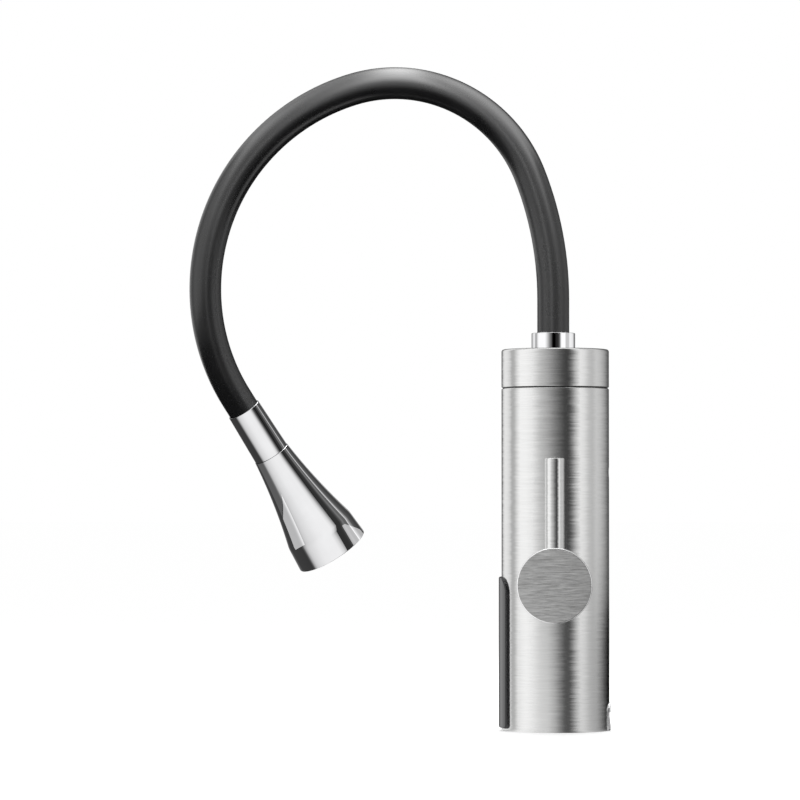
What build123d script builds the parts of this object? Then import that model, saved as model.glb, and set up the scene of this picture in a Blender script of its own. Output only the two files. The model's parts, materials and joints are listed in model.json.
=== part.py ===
from build123d import *
from math import cos, pi, radians, sin, sqrt
import os

os.makedirs("parts", exist_ok=True)

# An electric instant water heater tap: a steel column with the heater inside,
# a flexible spout in one open arc, and a rod lever on a round hub.
# Millimetres. Z is up and the origin is the centre of the foot on the deck.
# The lever faces -Y, the spout reaches towards -X and the cable leaves at +X.

# Fits
fit_gap = 0.1
seat_gap = 0.05
bearing_gap = 0.05
moving_gap = 0.3
# How far a cut runs past the face that it opens
cut_margin = 1.0

# Column: shell and cap
body_diameter = 58.0
shell_wall = 1.2
shell_height = 184.2
joint_width = 0.7
joint_depth = 0.7
cap_height = 20.5
cap_wall = 2.8
cap_top = 2.5
cap_skirt = 4.0
cap_rounding = 1.3
rim_chamfer = 0.3

# Foot: base plate, gasket and inlet socket
base_thickness = 10.0
gasket_inner_radius = 15.8
gasket_width = 4.6
gasket_thickness = 1.5
thread_radius = 10.48
thread_depth = 11.6
socket_wall = 3.0
socket_height = 18.0
socket_flange_width = 2.8
socket_flange_thickness = 2.5
throat_radius = 4.5
washer_ledge = 0.6
washer_thickness = 1.4
washer_hole_radius = 6.0

# Chassis posts and screws
post_radius = 2.5
post_x = 18.8
post_y = 15.7
screw_radius = 1.45
screw_grip = 8.0
screw_room = 1.0
screw_head_radius = 2.6
screw_head_height = 1.7

# Flow switch
flow_radius = 11.0
flow_bore_radius = 7.3
flow_floor = 3.0
flow_chamber = 24.0
flow_plug = 3.0
flow_cap_thickness = 3.0
spigot_radius = 5.0
spigot_bore_radius = 3.0
spigot_length = 9.0
piston_height = 12.0
piston_bore_radius = 2.0
spring_wire = 0.8
spring_radius = 5.2
spring_turns = 4
reed_width = 5.0
reed_depth = 3.6
reed_length = 16.0
reed_inset = 1.0

# Valve block and cartridge, on an axis along Y
valve_height = 78.8
block_radius = 13.5
block_front = 23.2
block_back = 9.0
boss_radius = 8.0
port_offset = 4.2
port_radius = 2.2
channel_radius = 3.0
cartridge_radius = 10.0
cartridge_seat = 5.0
cartridge_front = 31.0
chamber_radius = 8.2
seal_thickness = 2.0
disc_thickness = 3.5
spindle_flange = 2.8
spindle_radius = 4.0
spindle_flat = 0.8
ring_section = 1.0
ring_height = 2.0
collar_radius = 16.0
collar_front = 33.0

# Handle
hub_diameter = 40.0
hub_thickness = 14.7
hub_chamfer = 0.45
spindle_grip = 11.0
lever_diameter = 10.2
lever_top = 146.3
lever_seat = 18.0
lever_stud_radius = 3.0
lever_stud_length = 8.0
lever_chamfer = 0.5
grub_radius = 2.5
grub_length = 8.0

# Heater
tank_floor = 98.0
flange_thickness = 3.0
tank_radius = 21.0
tank_wall = 1.2
tank_headroom = 12.7
transfer_rise = 8.0
rod_radius = 3.2
rod_x = 10.5
rod_y = 8.0
rod_rise = 40.0
rod_drop = 5.0
bush_wall = 1.6
bush_height = 2.4
lid_thickness = 5.0
lid_spigot = 4.0
lid_gasket = 1.0
neck_radius = 10.0
neck_rise = 3.4
probe_x = 13.0
probe_radius = 2.4
probe_length = 14.0
probe_head_radius = 4.0
probe_head_height = 4.0

# Thermal cut-out behind the service hole
cutout_height = 139.1
cutout_radius = 7.0
cutout_depth = 3.3
saddle_reach = 2.0
saddle_height = 16.0
button_radius = 1.9
button_travel = 1.0
button_recess = 0.7
service_hole_radius = 3.1

# Electronics
board_thickness = 1.6
board_width = 30.0
board_bottom = 15.0
board_height = 50.0
module_depth = 3.4
module_width = 16.0
module_height = 36.0
module_lift = 9.0
relay_depth = 9.0
relay_width = 12.0
relay_height = 20.0
relay_lift = 7.0
terminal_length = 20.0
terminal_depth = 6.5
terminal_height = 12.0
terminal_ways = 3

# Display panel and cable outlet
panel_bottom = 1.5
panel_top = 82.8
panel_half_width = 16.9
panel_thickness = 1.5
panel_top_rounding = 9.0
panel_bottom_rounding = 2.0
panel_edge_rounding = 0.9
window_margin = 1.0
notch_width = 15.0
notch_height = 15.4
outlet_depth = 8.5
outlet_rim = 0.7
hood_reach = 1.2
hood_bottom = 10.6
cable_hole_radius = 3.8
cable_hole_height = 6.6

# Spout union
spout_x = -1.0
nut_radius = 11.8
nut_height = 8.9
nut_lip = 2.4
nut_chamfer = 0.4
stem_radius = 6.0
stem_depth = 18.0
stem_bore_radius = 2.0
stem_flange_radius = 9.7
stem_ring_lift = 4.0
stem_ring_pitch = 6.0
barb_length = 8.0

# Spout hose: its tubes, and its route as tangent arcs (radius, angle)
sleeve_radius = 8.65
sleeve_wall = 2.7
gooseneck_wall = 1.6
hose_wall = 1.5
hose_rise = 21.2
rise_radius, rise_angle = 185.5, 21.2
crown_radius, crown_angle = 78.9, 85.8
fall_radius, fall_angle = 112.4, 52.8
curl_radius, curl_angle = 111.2, 53.1
curl_roll = 20.1
hose_tail = 8.0

# Spray head
collar_length = 29.0
collar_start_radius = 9.3
collar_end_radius = 10.0
collar_chamfer = 0.25
seam_gap = 0.15
spigot_reach = 11.4
head_spigot_radius = 6.5
head_ring_lift = 4.6
core_shank_radius = 3.95
core_shank_length = 7.8
core_head_radius = 8.0
core_head_thickness = 3.0
cavity_room = 2.0
bell_length = 64.8
bell_neck_radius = 10.25
bell_waist = 25.0
bell_waist_radius = 13.8
bell_crease = 51.0
bell_crease_radius = 19.6
bell_mouth_radius = 20.6
bell_wall = 1.6
bell_softening = 14.0
plate_recess = 1.3
plate_thickness = 3.0
plate_shoulder = 1.2
aerator_radius = 9.0
aerator_height = 7.0
nozzle_radius = 1.3
nozzle_hole_radius = 0.55
nozzle_height = 1.0
inner_ring_radius = 11.6
inner_ring_count = 12
outer_ring_radius = 15.4
outer_ring_count = 18
grid_pitch = 3.0
grid_count = 5
grid_hole_radius = 1.0

# Values worked out from the sizes above
body_radius = body_diameter / 2
bore_radius = body_radius - shell_wall
cap_bottom = shell_height + joint_width
body_height = cap_bottom + cap_height
socket_radius = thread_radius + socket_wall
washer_seat = thread_radius - washer_ledge
washer_top = thread_depth + washer_thickness
gasket_outer_radius = gasket_inner_radius + gasket_width
flow_base = socket_height
flow_seat = flow_base + flow_floor
flow_top = flow_seat + flow_chamber + flow_plug
flow_plug_bottom = flow_top - flow_plug
block_bottom = flow_top + flow_cap_thickness
tank_top = shell_height - tank_headroom
lid_bottom = tank_top + lid_gasket
lid_top = lid_bottom + lid_thickness
neck_top = body_height + neck_rise
nut_top = body_height + nut_height
lip_bottom = nut_top - nut_lip
flange_top = lip_bottom - moving_gap
hub_back = collar_front + moving_gap
hub_front = hub_back + hub_thickness
hub_middle = hub_back + hub_thickness / 2
hub_radius = hub_diameter / 2
lever_radius = lever_diameter / 2
post_places = [(x, y) for x in (-post_x, post_x) for y in (-post_y, post_y)]
rod_places = [(x, y) for x in (-rod_x, rod_x) for y in (-rod_y, rod_y)]
board_back = post_x + post_radius + fit_gap
board_front = board_back + board_thickness
spout_axis = Axis((spout_x, 0, 0), (0, 0, 1))
valve_axis = Axis((0, 0, valve_height), (0, 1, 0))
# In the side plane local x runs out from the axis and local y runs up
spout_side = Plane(origin=(spout_x, 0, 0), x_dir=(1, 0, 0), z_dir=(0, -1, 0))
# In the valve's plane local y runs to the front, towards the hub
valve_side = Plane(origin=(0, 0, valve_height), x_dir=(1, 0, 0), z_dir=(0, 0, -1))
valve_front = Plane(origin=(0, 0, valve_height), x_dir=(1, 0, 0), z_dir=(0, -1, 0))


def finish(part, name):
    """Label a finished piece and write its file."""
    part.part.label = name
    export_step(part.part, f"parts/{name}.step")


# Body shell: a rolled tube with the openings for valve, cable, display and reset
with BuildPart() as body_shell:
    with BuildSketch(Plane.XY):
        Circle(body_radius)
        Circle(bore_radius, mode=Mode.SUBTRACT)
    extrude(amount=shell_height)
    shell_rims = body_shell.edges().group_by(Axis.Z)[-1].sort_by(SortBy.RADIUS)[-1]
    chamfer(shell_rims, rim_chamfer)
    with BuildSketch(valve_front):
        Circle(cartridge_radius + moving_gap)
    extrude(amount=body_radius + cut_margin, mode=Mode.SUBTRACT)
    with BuildSketch(Plane.YZ):
        with Locations((0, cutout_height)):
            Circle(service_hole_radius)
    extrude(amount=body_radius + cut_margin, mode=Mode.SUBTRACT)
    with BuildSketch(Plane.YZ):
        with Locations((0, notch_height - notch_width / 2)):
            Circle(notch_width / 2)
        Rectangle(notch_width, notch_height - notch_width / 2, align=(Align.CENTER, Align.MIN))
    extrude(amount=body_radius + cut_margin, mode=Mode.SUBTRACT)
    with BuildSketch(Plane.YZ):
        with Locations((0, board_bottom + module_lift + module_height / 2)):
            Rectangle(module_width + 2 * window_margin, module_height + 2 * window_margin)
    extrude(amount=-body_radius - cut_margin, mode=Mode.SUBTRACT)
finish(body_shell, "body_shell")

# Top cap: a turned cup whose skirt centres it in the shell
with BuildPart() as top_cap:
    with BuildSketch(Plane.XY.offset(cap_bottom)):
        Circle(body_radius)
    extrude(amount=body_height - cap_bottom)
    fillet(top_cap.edges().group_by(Axis.Z)[-1], cap_rounding)
    chamfer(top_cap.edges().group_by(Axis.Z)[0], rim_chamfer)
    with BuildSketch(Plane.XY.offset(cap_bottom - cap_skirt)):
        Circle(bore_radius - fit_gap)
    extrude(amount=cap_skirt)
    with BuildSketch(Plane.XY.offset(cap_bottom - cap_skirt)):
        Circle(body_radius - cap_wall)
    extrude(amount=body_height - cap_top - cap_bottom + cap_skirt, mode=Mode.SUBTRACT)
    with BuildSketch(Plane.XY.offset(body_height)):
        with Locations((spout_x, 0)):
            Circle(neck_radius + moving_gap)
    extrude(amount=-cap_top, mode=Mode.SUBTRACT)
finish(top_cap, "top_cap")

# Dark ring in the joint between cap and shell
with BuildPart() as cap_ring:
    with BuildSketch(Plane.XY.offset(shell_height)):
        Circle(body_radius - joint_depth)
        Circle(bore_radius, mode=Mode.SUBTRACT)
    extrude(amount=joint_width)
finish(cap_ring, "cap_ring")

# Base plate, cut away behind the cable outlet
with BuildPart() as base_plate:
    with BuildSketch(Plane.XY):
        Circle(bore_radius - fit_gap)
        Circle(socket_radius + fit_gap, mode=Mode.SUBTRACT)
        with Locations((body_radius - outlet_depth - fit_gap, 0)):
            Rectangle(
                outlet_depth + cut_margin, notch_width, align=(Align.MIN, Align.CENTER), mode=Mode.SUBTRACT
            )
    extrude(amount=base_thickness)
    with BuildSketch(Plane.XY):
        Circle(gasket_outer_radius + fit_gap)
        Circle(gasket_inner_radius - fit_gap, mode=Mode.SUBTRACT)
    extrude(amount=gasket_thickness, mode=Mode.SUBTRACT)
    with Locations(*[Location((x, y, 0), (180, 0, 0)) for x, y in post_places]):
        CounterSinkHole(screw_radius + fit_gap, screw_head_radius + fit_gap, base_thickness)
finish(base_plate, "base_plate")

# Foot gasket, flush with the shell's lower edge
with BuildPart() as foot_gasket:
    with BuildSketch(Plane.XY):
        Circle(gasket_outer_radius)
        Circle(gasket_inner_radius, mode=Mode.SUBTRACT)
    extrude(amount=gasket_thickness)
finish(foot_gasket, "foot_gasket")

# Inlet socket: a turned bush with the threaded inlet below and a throat above
with BuildPart() as inlet_socket:
    with BuildSketch(Plane.XZ):
        with BuildLine():
            Polyline(
                (thread_radius, 0),
                (socket_radius, 0),
                (socket_radius, base_thickness),
                (socket_radius + socket_flange_width, base_thickness),
                (socket_radius + socket_flange_width, base_thickness + socket_flange_thickness),
                (socket_radius, base_thickness + socket_flange_thickness),
                (socket_radius, socket_height),
                (throat_radius, socket_height),
                (throat_radius, washer_top),
                (washer_seat, washer_top),
                (washer_seat, thread_depth),
                (thread_radius, thread_depth),
                close=True,
            )
        make_face()
    revolve(axis=Axis.Z)
finish(inlet_socket, "inlet_socket")

# Flat washer in its seat above the thread
with BuildPart() as inlet_washer:
    with BuildSketch(Plane.XY.offset(thread_depth)):
        Circle(washer_seat - fit_gap)
        Circle(washer_hole_radius, mode=Mode.SUBTRACT)
    extrude(amount=washer_thickness)
finish(inlet_washer, "inlet_washer")

# Four posts that carry the heater above the base plate
with BuildPart() as chassis_posts:
    with BuildSketch(Plane.XY.offset(base_thickness)):
        with Locations(*post_places):
            Circle(post_radius)
    extrude(amount=tank_floor - base_thickness)
    with Locations(*[(x, y, base_thickness) for x, y in post_places]):
        Cylinder(
            screw_radius + seat_gap,
            screw_grip + screw_room,
            align=(Align.CENTER, Align.CENTER, Align.MIN),
            mode=Mode.SUBTRACT,
        )
    with Locations(*[(x, y, tank_floor) for x, y in post_places]):
        Cylinder(
            screw_radius + seat_gap,
            screw_grip + screw_room,
            align=(Align.CENTER, Align.CENTER, Align.MAX),
            mode=Mode.SUBTRACT,
        )
finish(chassis_posts, "chassis_posts")

# Countersunk screws from below, into the posts
with BuildPart() as base_screws:
    with Locations(*[(x, y, fit_gap) for x, y in post_places]):
        Cone(
            screw_head_radius,
            screw_radius,
            screw_head_radius - screw_radius,
            align=(Align.CENTER, Align.CENTER, Align.MIN),
        )
        Cylinder(
            screw_radius,
            base_thickness + screw_grip,
            align=(Align.CENTER, Align.CENTER, Align.MIN),
        )
finish(base_screws, "base_screws")

# Pan head screws through the heater's flange, into the posts
with BuildPart() as flange_screws:
    flange_top_level = tank_floor + flange_thickness
    with Locations(*[(x, y, flange_top_level) for x, y in post_places]):
        Cylinder(
            screw_head_radius,
            screw_head_height,
            align=(Align.CENTER, Align.CENTER, Align.MIN),
        )
        Cylinder(
            screw_radius,
            flange_thickness + screw_grip,
            align=(Align.CENTER, Align.CENTER, Align.MAX),
        )
finish(flange_screws, "flange_screws")

# Flow switch housing, with a flat for the reed switch
with BuildPart() as flow_housing:
    with BuildSketch(Plane.XZ):
        with BuildLine():
            Polyline(
                (throat_radius, flow_base),
                (flow_radius, flow_base),
                (flow_radius, flow_top),
                (flow_bore_radius, flow_top),
                (flow_bore_radius, flow_seat),
                (throat_radius, flow_seat),
                close=True,
            )
        make_face()
    revolve(axis=Axis.Z)
    with BuildSketch(Plane.XY.offset(flow_base)):
        with Locations((0, flow_radius - reed_inset)):
            Rectangle(2 * flow_radius, reed_inset + cut_margin, align=(Align.CENTER, Align.MIN))
    extrude(amount=flow_top - flow_base, mode=Mode.SUBTRACT)
finish(flow_housing, "flow_housing")

# Its cap, with a plug below and a spigot up into the valve block
with BuildPart() as flow_cap:
    with BuildSketch(Plane.XZ):
        with BuildLine():
            Polyline(
                (spigot_bore_radius, flow_plug_bottom),
                (flow_bore_radius - fit_gap, flow_plug_bottom),
                (flow_bore_radius - fit_gap, flow_top),
                (flow_radius, flow_top),
                (flow_radius, block_bottom),
                (spigot_radius, block_bottom),
                (spigot_radius, block_bottom + spigot_length),
                (spigot_bore_radius, block_bottom + spigot_length),
                close=True,
            )
        make_face()
    revolve(axis=Axis.Z)
finish(flow_cap, "flow_cap")

# Magnetic piston that the flow lifts off its seat
with BuildPart() as flow_piston:
    with BuildSketch(Plane.XY.offset(flow_seat)):
        Circle(flow_bore_radius - moving_gap)
        Circle(piston_bore_radius, mode=Mode.SUBTRACT)
    extrude(amount=piston_height)
finish(flow_piston, "flow_piston")


def helix_point(angle, radius, rise):
    """A point on the spring's centre line, and the line's direction there."""
    height = rise * angle / (2 * pi)
    point = Vector(radius * cos(angle), radius * sin(angle), height)
    heading = Vector(-radius * sin(angle), radius * cos(angle), rise / (2 * pi)).normalized()
    return point, heading


def biarc(start, start_heading, end, end_heading):
    """Two arcs that leave one point and reach the next along the given headings."""
    chord = end - start
    both = start_heading + end_heading
    spread = 2 * (1 - start_heading.dot(end_heading))
    along = chord.dot(both)
    reach = (sqrt(along**2 + spread * chord.dot(chord)) - along) / spread
    middle = (start + end + (start_heading - end_heading) * reach) * 0.5
    heading = (chord - both * reach).normalized()
    first = Edge.make_tangent_arc(start, start_heading, middle)
    second = Edge.make_tangent_arc(middle, heading, end)
    return [first, second]


# Return spring: quarter turns as pairs of arcs along a helix
spring_bottom = flow_seat + piston_height + spring_wire / 2 + seat_gap
spring_top = flow_plug_bottom - spring_wire / 2 - seat_gap
spring_rise = (spring_top - spring_bottom) / spring_turns
spring_edges = []
for quarter in range(4 * spring_turns):
    point_a, heading_a = helix_point(quarter * pi / 2, spring_radius, spring_rise)
    point_b, heading_b = helix_point((quarter + 1) * pi / 2, spring_radius, spring_rise)
    spring_edges += biarc(point_a, heading_a, point_b, heading_b)
spring_path = Wire(spring_edges).moved(Location((0, 0, spring_bottom)))
with BuildPart() as flow_spring:
    with BuildSketch(Plane(origin=spring_path @ 0, z_dir=spring_path % 0)):
        Circle(spring_wire / 2)
    sweep(path=spring_path)
finish(flow_spring, "flow_spring")
print("spring: least gap between turns", round(spring_rise - spring_wire, 2), "mm")

# Reed switch on the housing's flat
with BuildPart() as reed_switch:
    with BuildSketch(Plane.XY.offset(flow_seat)):
        with Locations((0, flow_radius - reed_inset)):
            Rectangle(reed_width, reed_depth, align=(Align.CENTER, Align.MIN))
    extrude(amount=reed_length)
    fillet(reed_switch.edges().filter_by(Axis.Z).sort_by(Axis.Y)[-2:], 1)
finish(reed_switch, "reed_switch")

# Valve block: a cross of two cylinders with the water ways drilled in it
with BuildPart() as valve_block:
    with BuildSketch(valve_front.offset(-block_back)):
        Circle(block_radius)
    extrude(amount=block_back + block_front)
    with BuildSketch(Plane.XY.offset(block_bottom)):
        Circle(boss_radius)
    extrude(amount=tank_floor - block_bottom)
    with BuildSketch(valve_front.offset(cartridge_seat)):
        Circle(cartridge_radius + seat_gap)
    extrude(amount=block_front, mode=Mode.SUBTRACT)
    with BuildSketch(Plane.XY.offset(block_bottom)):
        Circle(spigot_radius + fit_gap)
    extrude(amount=spigot_length + seat_gap, mode=Mode.SUBTRACT)
    with BuildSketch(Plane.XY.offset(tank_floor)):
        Circle(spigot_radius + fit_gap)
    extrude(amount=-transfer_rise, mode=Mode.SUBTRACT)
    with BuildSketch(Plane.XY.offset(block_bottom)):
        Circle(channel_radius)
    extrude(amount=valve_height - port_offset + channel_radius - block_bottom, mode=Mode.SUBTRACT)
    with BuildSketch(Plane.XY.offset(tank_floor)):
        Circle(channel_radius)
    extrude(amount=-(tank_floor - valve_height - port_offset + channel_radius), mode=Mode.SUBTRACT)
    with BuildSketch(valve_front):
        with Locations((0, port_offset), (0, -port_offset)):
            Circle(port_radius)
    extrude(amount=block_front, mode=Mode.SUBTRACT)
finish(valve_block, "valve_block")

# Pipe from the valve block up into the tank
with BuildPart() as transfer_pipe:
    with BuildSketch(Plane.XY.offset(tank_floor - transfer_rise)):
        Circle(spigot_radius)
        Circle(spigot_bore_radius, mode=Mode.SUBTRACT)
    extrude(amount=2 * transfer_rise)
finish(transfer_pipe, "transfer_pipe")

# Cartridge: a turned brass body with the disc chamber and the spindle's bearing
chamber_front = cartridge_seat + seal_thickness + 2 * disc_thickness + spindle_flange + moving_gap
ring_back = (chamber_front + cartridge_front) / 2 - ring_height / 2
with BuildPart() as cartridge_body:
    with BuildSketch(valve_side):
        with BuildLine():
            Polyline(
                (chamber_radius, cartridge_seat),
                (cartridge_radius, cartridge_seat),
                (cartridge_radius, cartridge_front),
                (spindle_radius + bearing_gap, cartridge_front),
                (spindle_radius + bearing_gap, ring_back + ring_height + seat_gap),
                (spindle_radius + ring_section + fit_gap, ring_back + ring_height + seat_gap),
                (spindle_radius + ring_section + fit_gap, ring_back - seat_gap),
                (spindle_radius + bearing_gap, ring_back - seat_gap),
                (spindle_radius + bearing_gap, chamber_front),
                (chamber_radius, chamber_front),
                close=True,
            )
        make_face()
    revolve(axis=valve_axis)
finish(cartridge_body, "cartridge_body")

# Rubber seal with the two ports, behind the fixed disc
with BuildPart() as cartridge_seal:
    with BuildSketch(valve_front.offset(cartridge_seat)):
        Circle(chamber_radius - fit_gap)
        with Locations((0, port_offset), (0, -port_offset)):
            Circle(port_radius, mode=Mode.SUBTRACT)
    extrude(amount=seal_thickness)
finish(cartridge_seal, "cartridge_seal")

# Fixed ceramic disc
with BuildPart() as fixed_disc:
    with BuildSketch(valve_front.offset(cartridge_seat + seal_thickness)):
        Circle(chamber_radius - fit_gap)
        with Locations((0, port_offset), (0, -port_offset)):
            Circle(port_radius, mode=Mode.SUBTRACT)
    extrude(amount=disc_thickness)
finish(fixed_disc, "fixed_disc")

# Moving ceramic disc: its slot joins the two ports when the lever is turned aside
with BuildPart() as moving_disc:
    with BuildSketch(valve_front.offset(cartridge_seat + seal_thickness + disc_thickness)):
        Circle(chamber_radius - moving_gap)
    extrude(amount=disc_thickness)
    with BuildSketch(valve_front.offset(cartridge_seat + seal_thickness + disc_thickness)):
        SlotCenterToCenter(2 * port_offset, 2 * port_radius)
    extrude(amount=disc_thickness / 2, mode=Mode.SUBTRACT)
finish(moving_disc, "moving_disc")

# Spindle: a flange that drives the disc, and a flatted end in the hub
with BuildPart() as spindle:
    flange_back = chamber_front - moving_gap - spindle_flange
    with BuildSketch(valve_front.offset(flange_back)):
        Circle(chamber_radius - moving_gap)
    extrude(amount=spindle_flange)
    with BuildSketch(valve_front.offset(flange_back)):
        Circle(spindle_radius)
    extrude(amount=hub_back + spindle_grip - flange_back)
    with BuildSketch(valve_front.offset(cartridge_front + seat_gap)):
        with Locations((0, -spindle_radius)):
            Rectangle(2 * spindle_radius, 2 * spindle_flat)
    extrude(amount=hub_front, mode=Mode.SUBTRACT)
finish(spindle, "spindle")

# Its seal ring, in the groove of the cartridge
with BuildPart() as spindle_seal:
    with BuildSketch(valve_front.offset(ring_back)):
        Circle(spindle_radius + ring_section)
        Circle(spindle_radius + bearing_gap, mode=Mode.SUBTRACT)
    extrude(amount=ring_height)
finish(spindle_seal, "spindle_seal")

# Collar that holds the shell against the valve, saddled to the shell
with BuildPart() as valve_collar:
    with BuildSketch(valve_front.offset(body_radius / 2)):
        Circle(collar_radius)
        Circle(cartridge_radius + fit_gap, mode=Mode.SUBTRACT)
    extrude(amount=collar_front - body_radius / 2)
    chamfer(valve_collar.edges().group_by(Axis.Y)[0].sort_by(SortBy.RADIUS)[-1], hub_chamfer)
    with BuildSketch(Plane.XY.offset(valve_height - 2 * collar_radius)):
        Circle(body_radius + seat_gap)
    extrude(amount=4 * collar_radius, mode=Mode.SUBTRACT)
finish(valve_collar, "valve_collar")

# Lever hub: a turned disc with the spindle bore, lever seat and grub screw hole
with BuildPart() as handle_hub:
    with BuildSketch(valve_front.offset(hub_back)):
        Circle(hub_radius)
    extrude(amount=hub_thickness)
    chamfer(handle_hub.edges().group_by(Axis.Y)[0], hub_chamfer)
    chamfer(handle_hub.edges().group_by(Axis.Y)[-1], hub_chamfer)
    with BuildSketch(valve_front.offset(hub_back)):
        Circle(spindle_radius + seat_gap)
        with Locations((0, -spindle_radius)):
            Rectangle(
                2 * spindle_radius + cut_margin, 2 * (spindle_flat - seat_gap), mode=Mode.SUBTRACT
            )
    extrude(amount=spindle_grip + seat_gap, mode=Mode.SUBTRACT)
    with BuildSketch(Plane.XY.offset(valve_height + lever_seat)):
        with Locations((0, -hub_middle)):
            Circle(lever_radius + seat_gap)
    extrude(amount=hub_radius, mode=Mode.SUBTRACT)
    with BuildSketch(Plane.XY.offset(valve_height + lever_seat)):
        with Locations((0, -hub_middle)):
            Circle(lever_stud_radius + seat_gap)
    extrude(amount=-lever_stud_length - seat_gap, mode=Mode.SUBTRACT)
    with BuildSketch(Plane.XY.offset(valve_height - spindle_radius + spindle_flat)):
        with Locations((0, -hub_middle)):
            Circle(grub_radius + seat_gap)
    extrude(amount=-hub_radius, mode=Mode.SUBTRACT)
finish(handle_hub, "handle_hub")

# Rod lever with a screwed stud
with BuildPart() as lever_rod:
    with BuildSketch(Plane.XY.offset(valve_height + lever_seat)):
        with Locations((0, -hub_middle)):
            Circle(lever_radius)
    extrude(amount=lever_top - valve_height - lever_seat)
    chamfer(lever_rod.edges().group_by(Axis.Z)[-1], lever_chamfer)
    with BuildSketch(Plane.XY.offset(valve_height + lever_seat)):
        with Locations((0, -hub_middle)):
            Circle(lever_stud_radius)
    extrude(amount=-lever_stud_length)
finish(lever_rod, "lever_rod")

# Grub screw that holds the hub on the spindle's flat, from below
with BuildPart() as grub_screw:
    grub_top = valve_height - spindle_radius + spindle_flat - seat_gap
    with BuildSketch(Plane.XY.offset(grub_top)):
        with Locations((0, -hub_middle)):
            Circle(grub_radius)
    extrude(amount=-grub_length)
    with BuildSketch(Plane.XY.offset(grub_top - grub_length)):
        with Locations((0, -hub_middle)):
            RegularPolygon(grub_radius * 0.6, 6)
    extrude(amount=grub_length / 3, mode=Mode.SUBTRACT)
finish(grub_screw, "grub_screw")

# Heater tank: a drawn can on the flange that the posts carry
with BuildPart() as heater_tank:
    with BuildSketch(Plane.XY.offset(tank_floor)):
        Circle(bore_radius - moving_gap)
    extrude(amount=flange_thickness)
    with BuildSketch(Plane.XY.offset(tank_floor + flange_thickness)):
        Circle(tank_radius)
        Circle(tank_radius - tank_wall, mode=Mode.SUBTRACT)
    extrude(amount=tank_top - tank_floor - flange_thickness)
    with BuildSketch(Plane.XY.offset(tank_floor)):
        Circle(spigot_radius + fit_gap)
        with Locations(*rod_places):
            Circle(rod_radius + fit_gap)
        with Locations(*post_places):
            Circle(screw_radius + fit_gap)
    extrude(amount=flange_thickness, mode=Mode.SUBTRACT)
finish(heater_tank, "heater_tank")

# Two hairpin heating rods, each with its legs through the flange
with BuildPart() as heating_rods:
    rod_bottom = tank_floor - rod_drop
    for rod_side in (-rod_y, rod_y):
        with BuildLine(Plane.XZ.offset(-rod_side)) as hairpin:
            left_leg = Line((-rod_x, rod_bottom), (-rod_x, tank_floor + rod_rise))
            top_bend = JernArc(left_leg @ 1, left_leg % 1, rod_x, -180)
            Line(top_bend @ 1, (rod_x, rod_bottom))
        with BuildSketch(Plane.XY.offset(rod_bottom)):
            with Locations((-rod_x, rod_side)):
                Circle(rod_radius)
        sweep(path=hairpin.wires()[0])
finish(heating_rods, "heating_rods")

# Insulating bushes on the legs, under the flange
with BuildPart() as rod_bushes:
    with BuildSketch(Plane.XY.offset(tank_floor)):
        with Locations(*rod_places):
            Circle(rod_radius + fit_gap + bush_wall)
            Circle(rod_radius + fit_gap, mode=Mode.SUBTRACT)
    extrude(amount=-bush_height)
finish(rod_bushes, "rod_bushes")

# Flat gasket under the lid
with BuildPart() as tank_gasket:
    with BuildSketch(Plane.XY.offset(tank_top)):
        Circle(tank_radius)
        Circle(tank_radius - tank_wall, mode=Mode.SUBTRACT)
    extrude(amount=lid_gasket)
finish(tank_gasket, "tank_gasket")

# Tank lid with the outlet neck that passes up through the cap
with BuildPart() as tank_lid:
    with BuildSketch(Plane.XY.offset(lid_bottom)):
        Circle(tank_radius)
    extrude(amount=lid_thickness)
    with BuildSketch(Plane.XY.offset(lid_bottom)):
        Circle(tank_radius - tank_wall - fit_gap)
    extrude(amount=-lid_spigot)
    with BuildSketch(Plane.XY.offset(lid_top)):
        with Locations((spout_x, 0)):
            Circle(neck_radius)
    extrude(amount=neck_top - lid_top)
    with BuildSketch(Plane.XY.offset(neck_top)):
        with Locations((spout_x, 0)):
            Circle(stem_radius + bearing_gap)
    extrude(amount=-stem_depth - moving_gap, mode=Mode.SUBTRACT)
    with BuildSketch(Plane.XY.offset(neck_top)):
        with Locations((spout_x, 0)):
            Circle(throat_radius)
    extrude(amount=-(neck_top - lid_bottom + lid_spigot), mode=Mode.SUBTRACT)
    with BuildSketch(Plane.XY.offset(lid_top)):
        with Locations((probe_x, 0)):
            Circle(probe_radius + fit_gap)
    extrude(amount=-(lid_thickness + lid_spigot), mode=Mode.SUBTRACT)
finish(tank_lid, "tank_lid")

# Temperature probe, screwed down through the lid
with BuildPart() as temperature_probe:
    with BuildSketch(Plane.XY.offset(lid_top)):
        with Locations((probe_x, 0)):
            RegularPolygon(probe_head_radius, 6)
    extrude(amount=probe_head_height)
    with BuildSketch(Plane.XY.offset(lid_top)):
        with Locations((probe_x, 0)):
            Circle(probe_radius)
    extrude(amount=-probe_length)
    fillet(temperature_probe.edges().group_by(Axis.Z)[0], probe_radius / 2)
finish(temperature_probe, "temperature_probe")

# Saddle that seats the cut-out on the tank's round side
cutout_seat = tank_radius + saddle_reach
with BuildPart() as cutout_saddle:
    with BuildSketch(Plane.YZ.offset(tank_radius / 2)):
        with Locations((0, cutout_height)):
            Rectangle(2 * cutout_radius, saddle_height)
    extrude(amount=cutout_seat - tank_radius / 2)
    with BuildSketch(Plane.XY.offset(cutout_height - saddle_height)):
        Circle(tank_radius + seat_gap)
    extrude(amount=2 * saddle_height, mode=Mode.SUBTRACT)
finish(cutout_saddle, "cutout_saddle")

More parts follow.
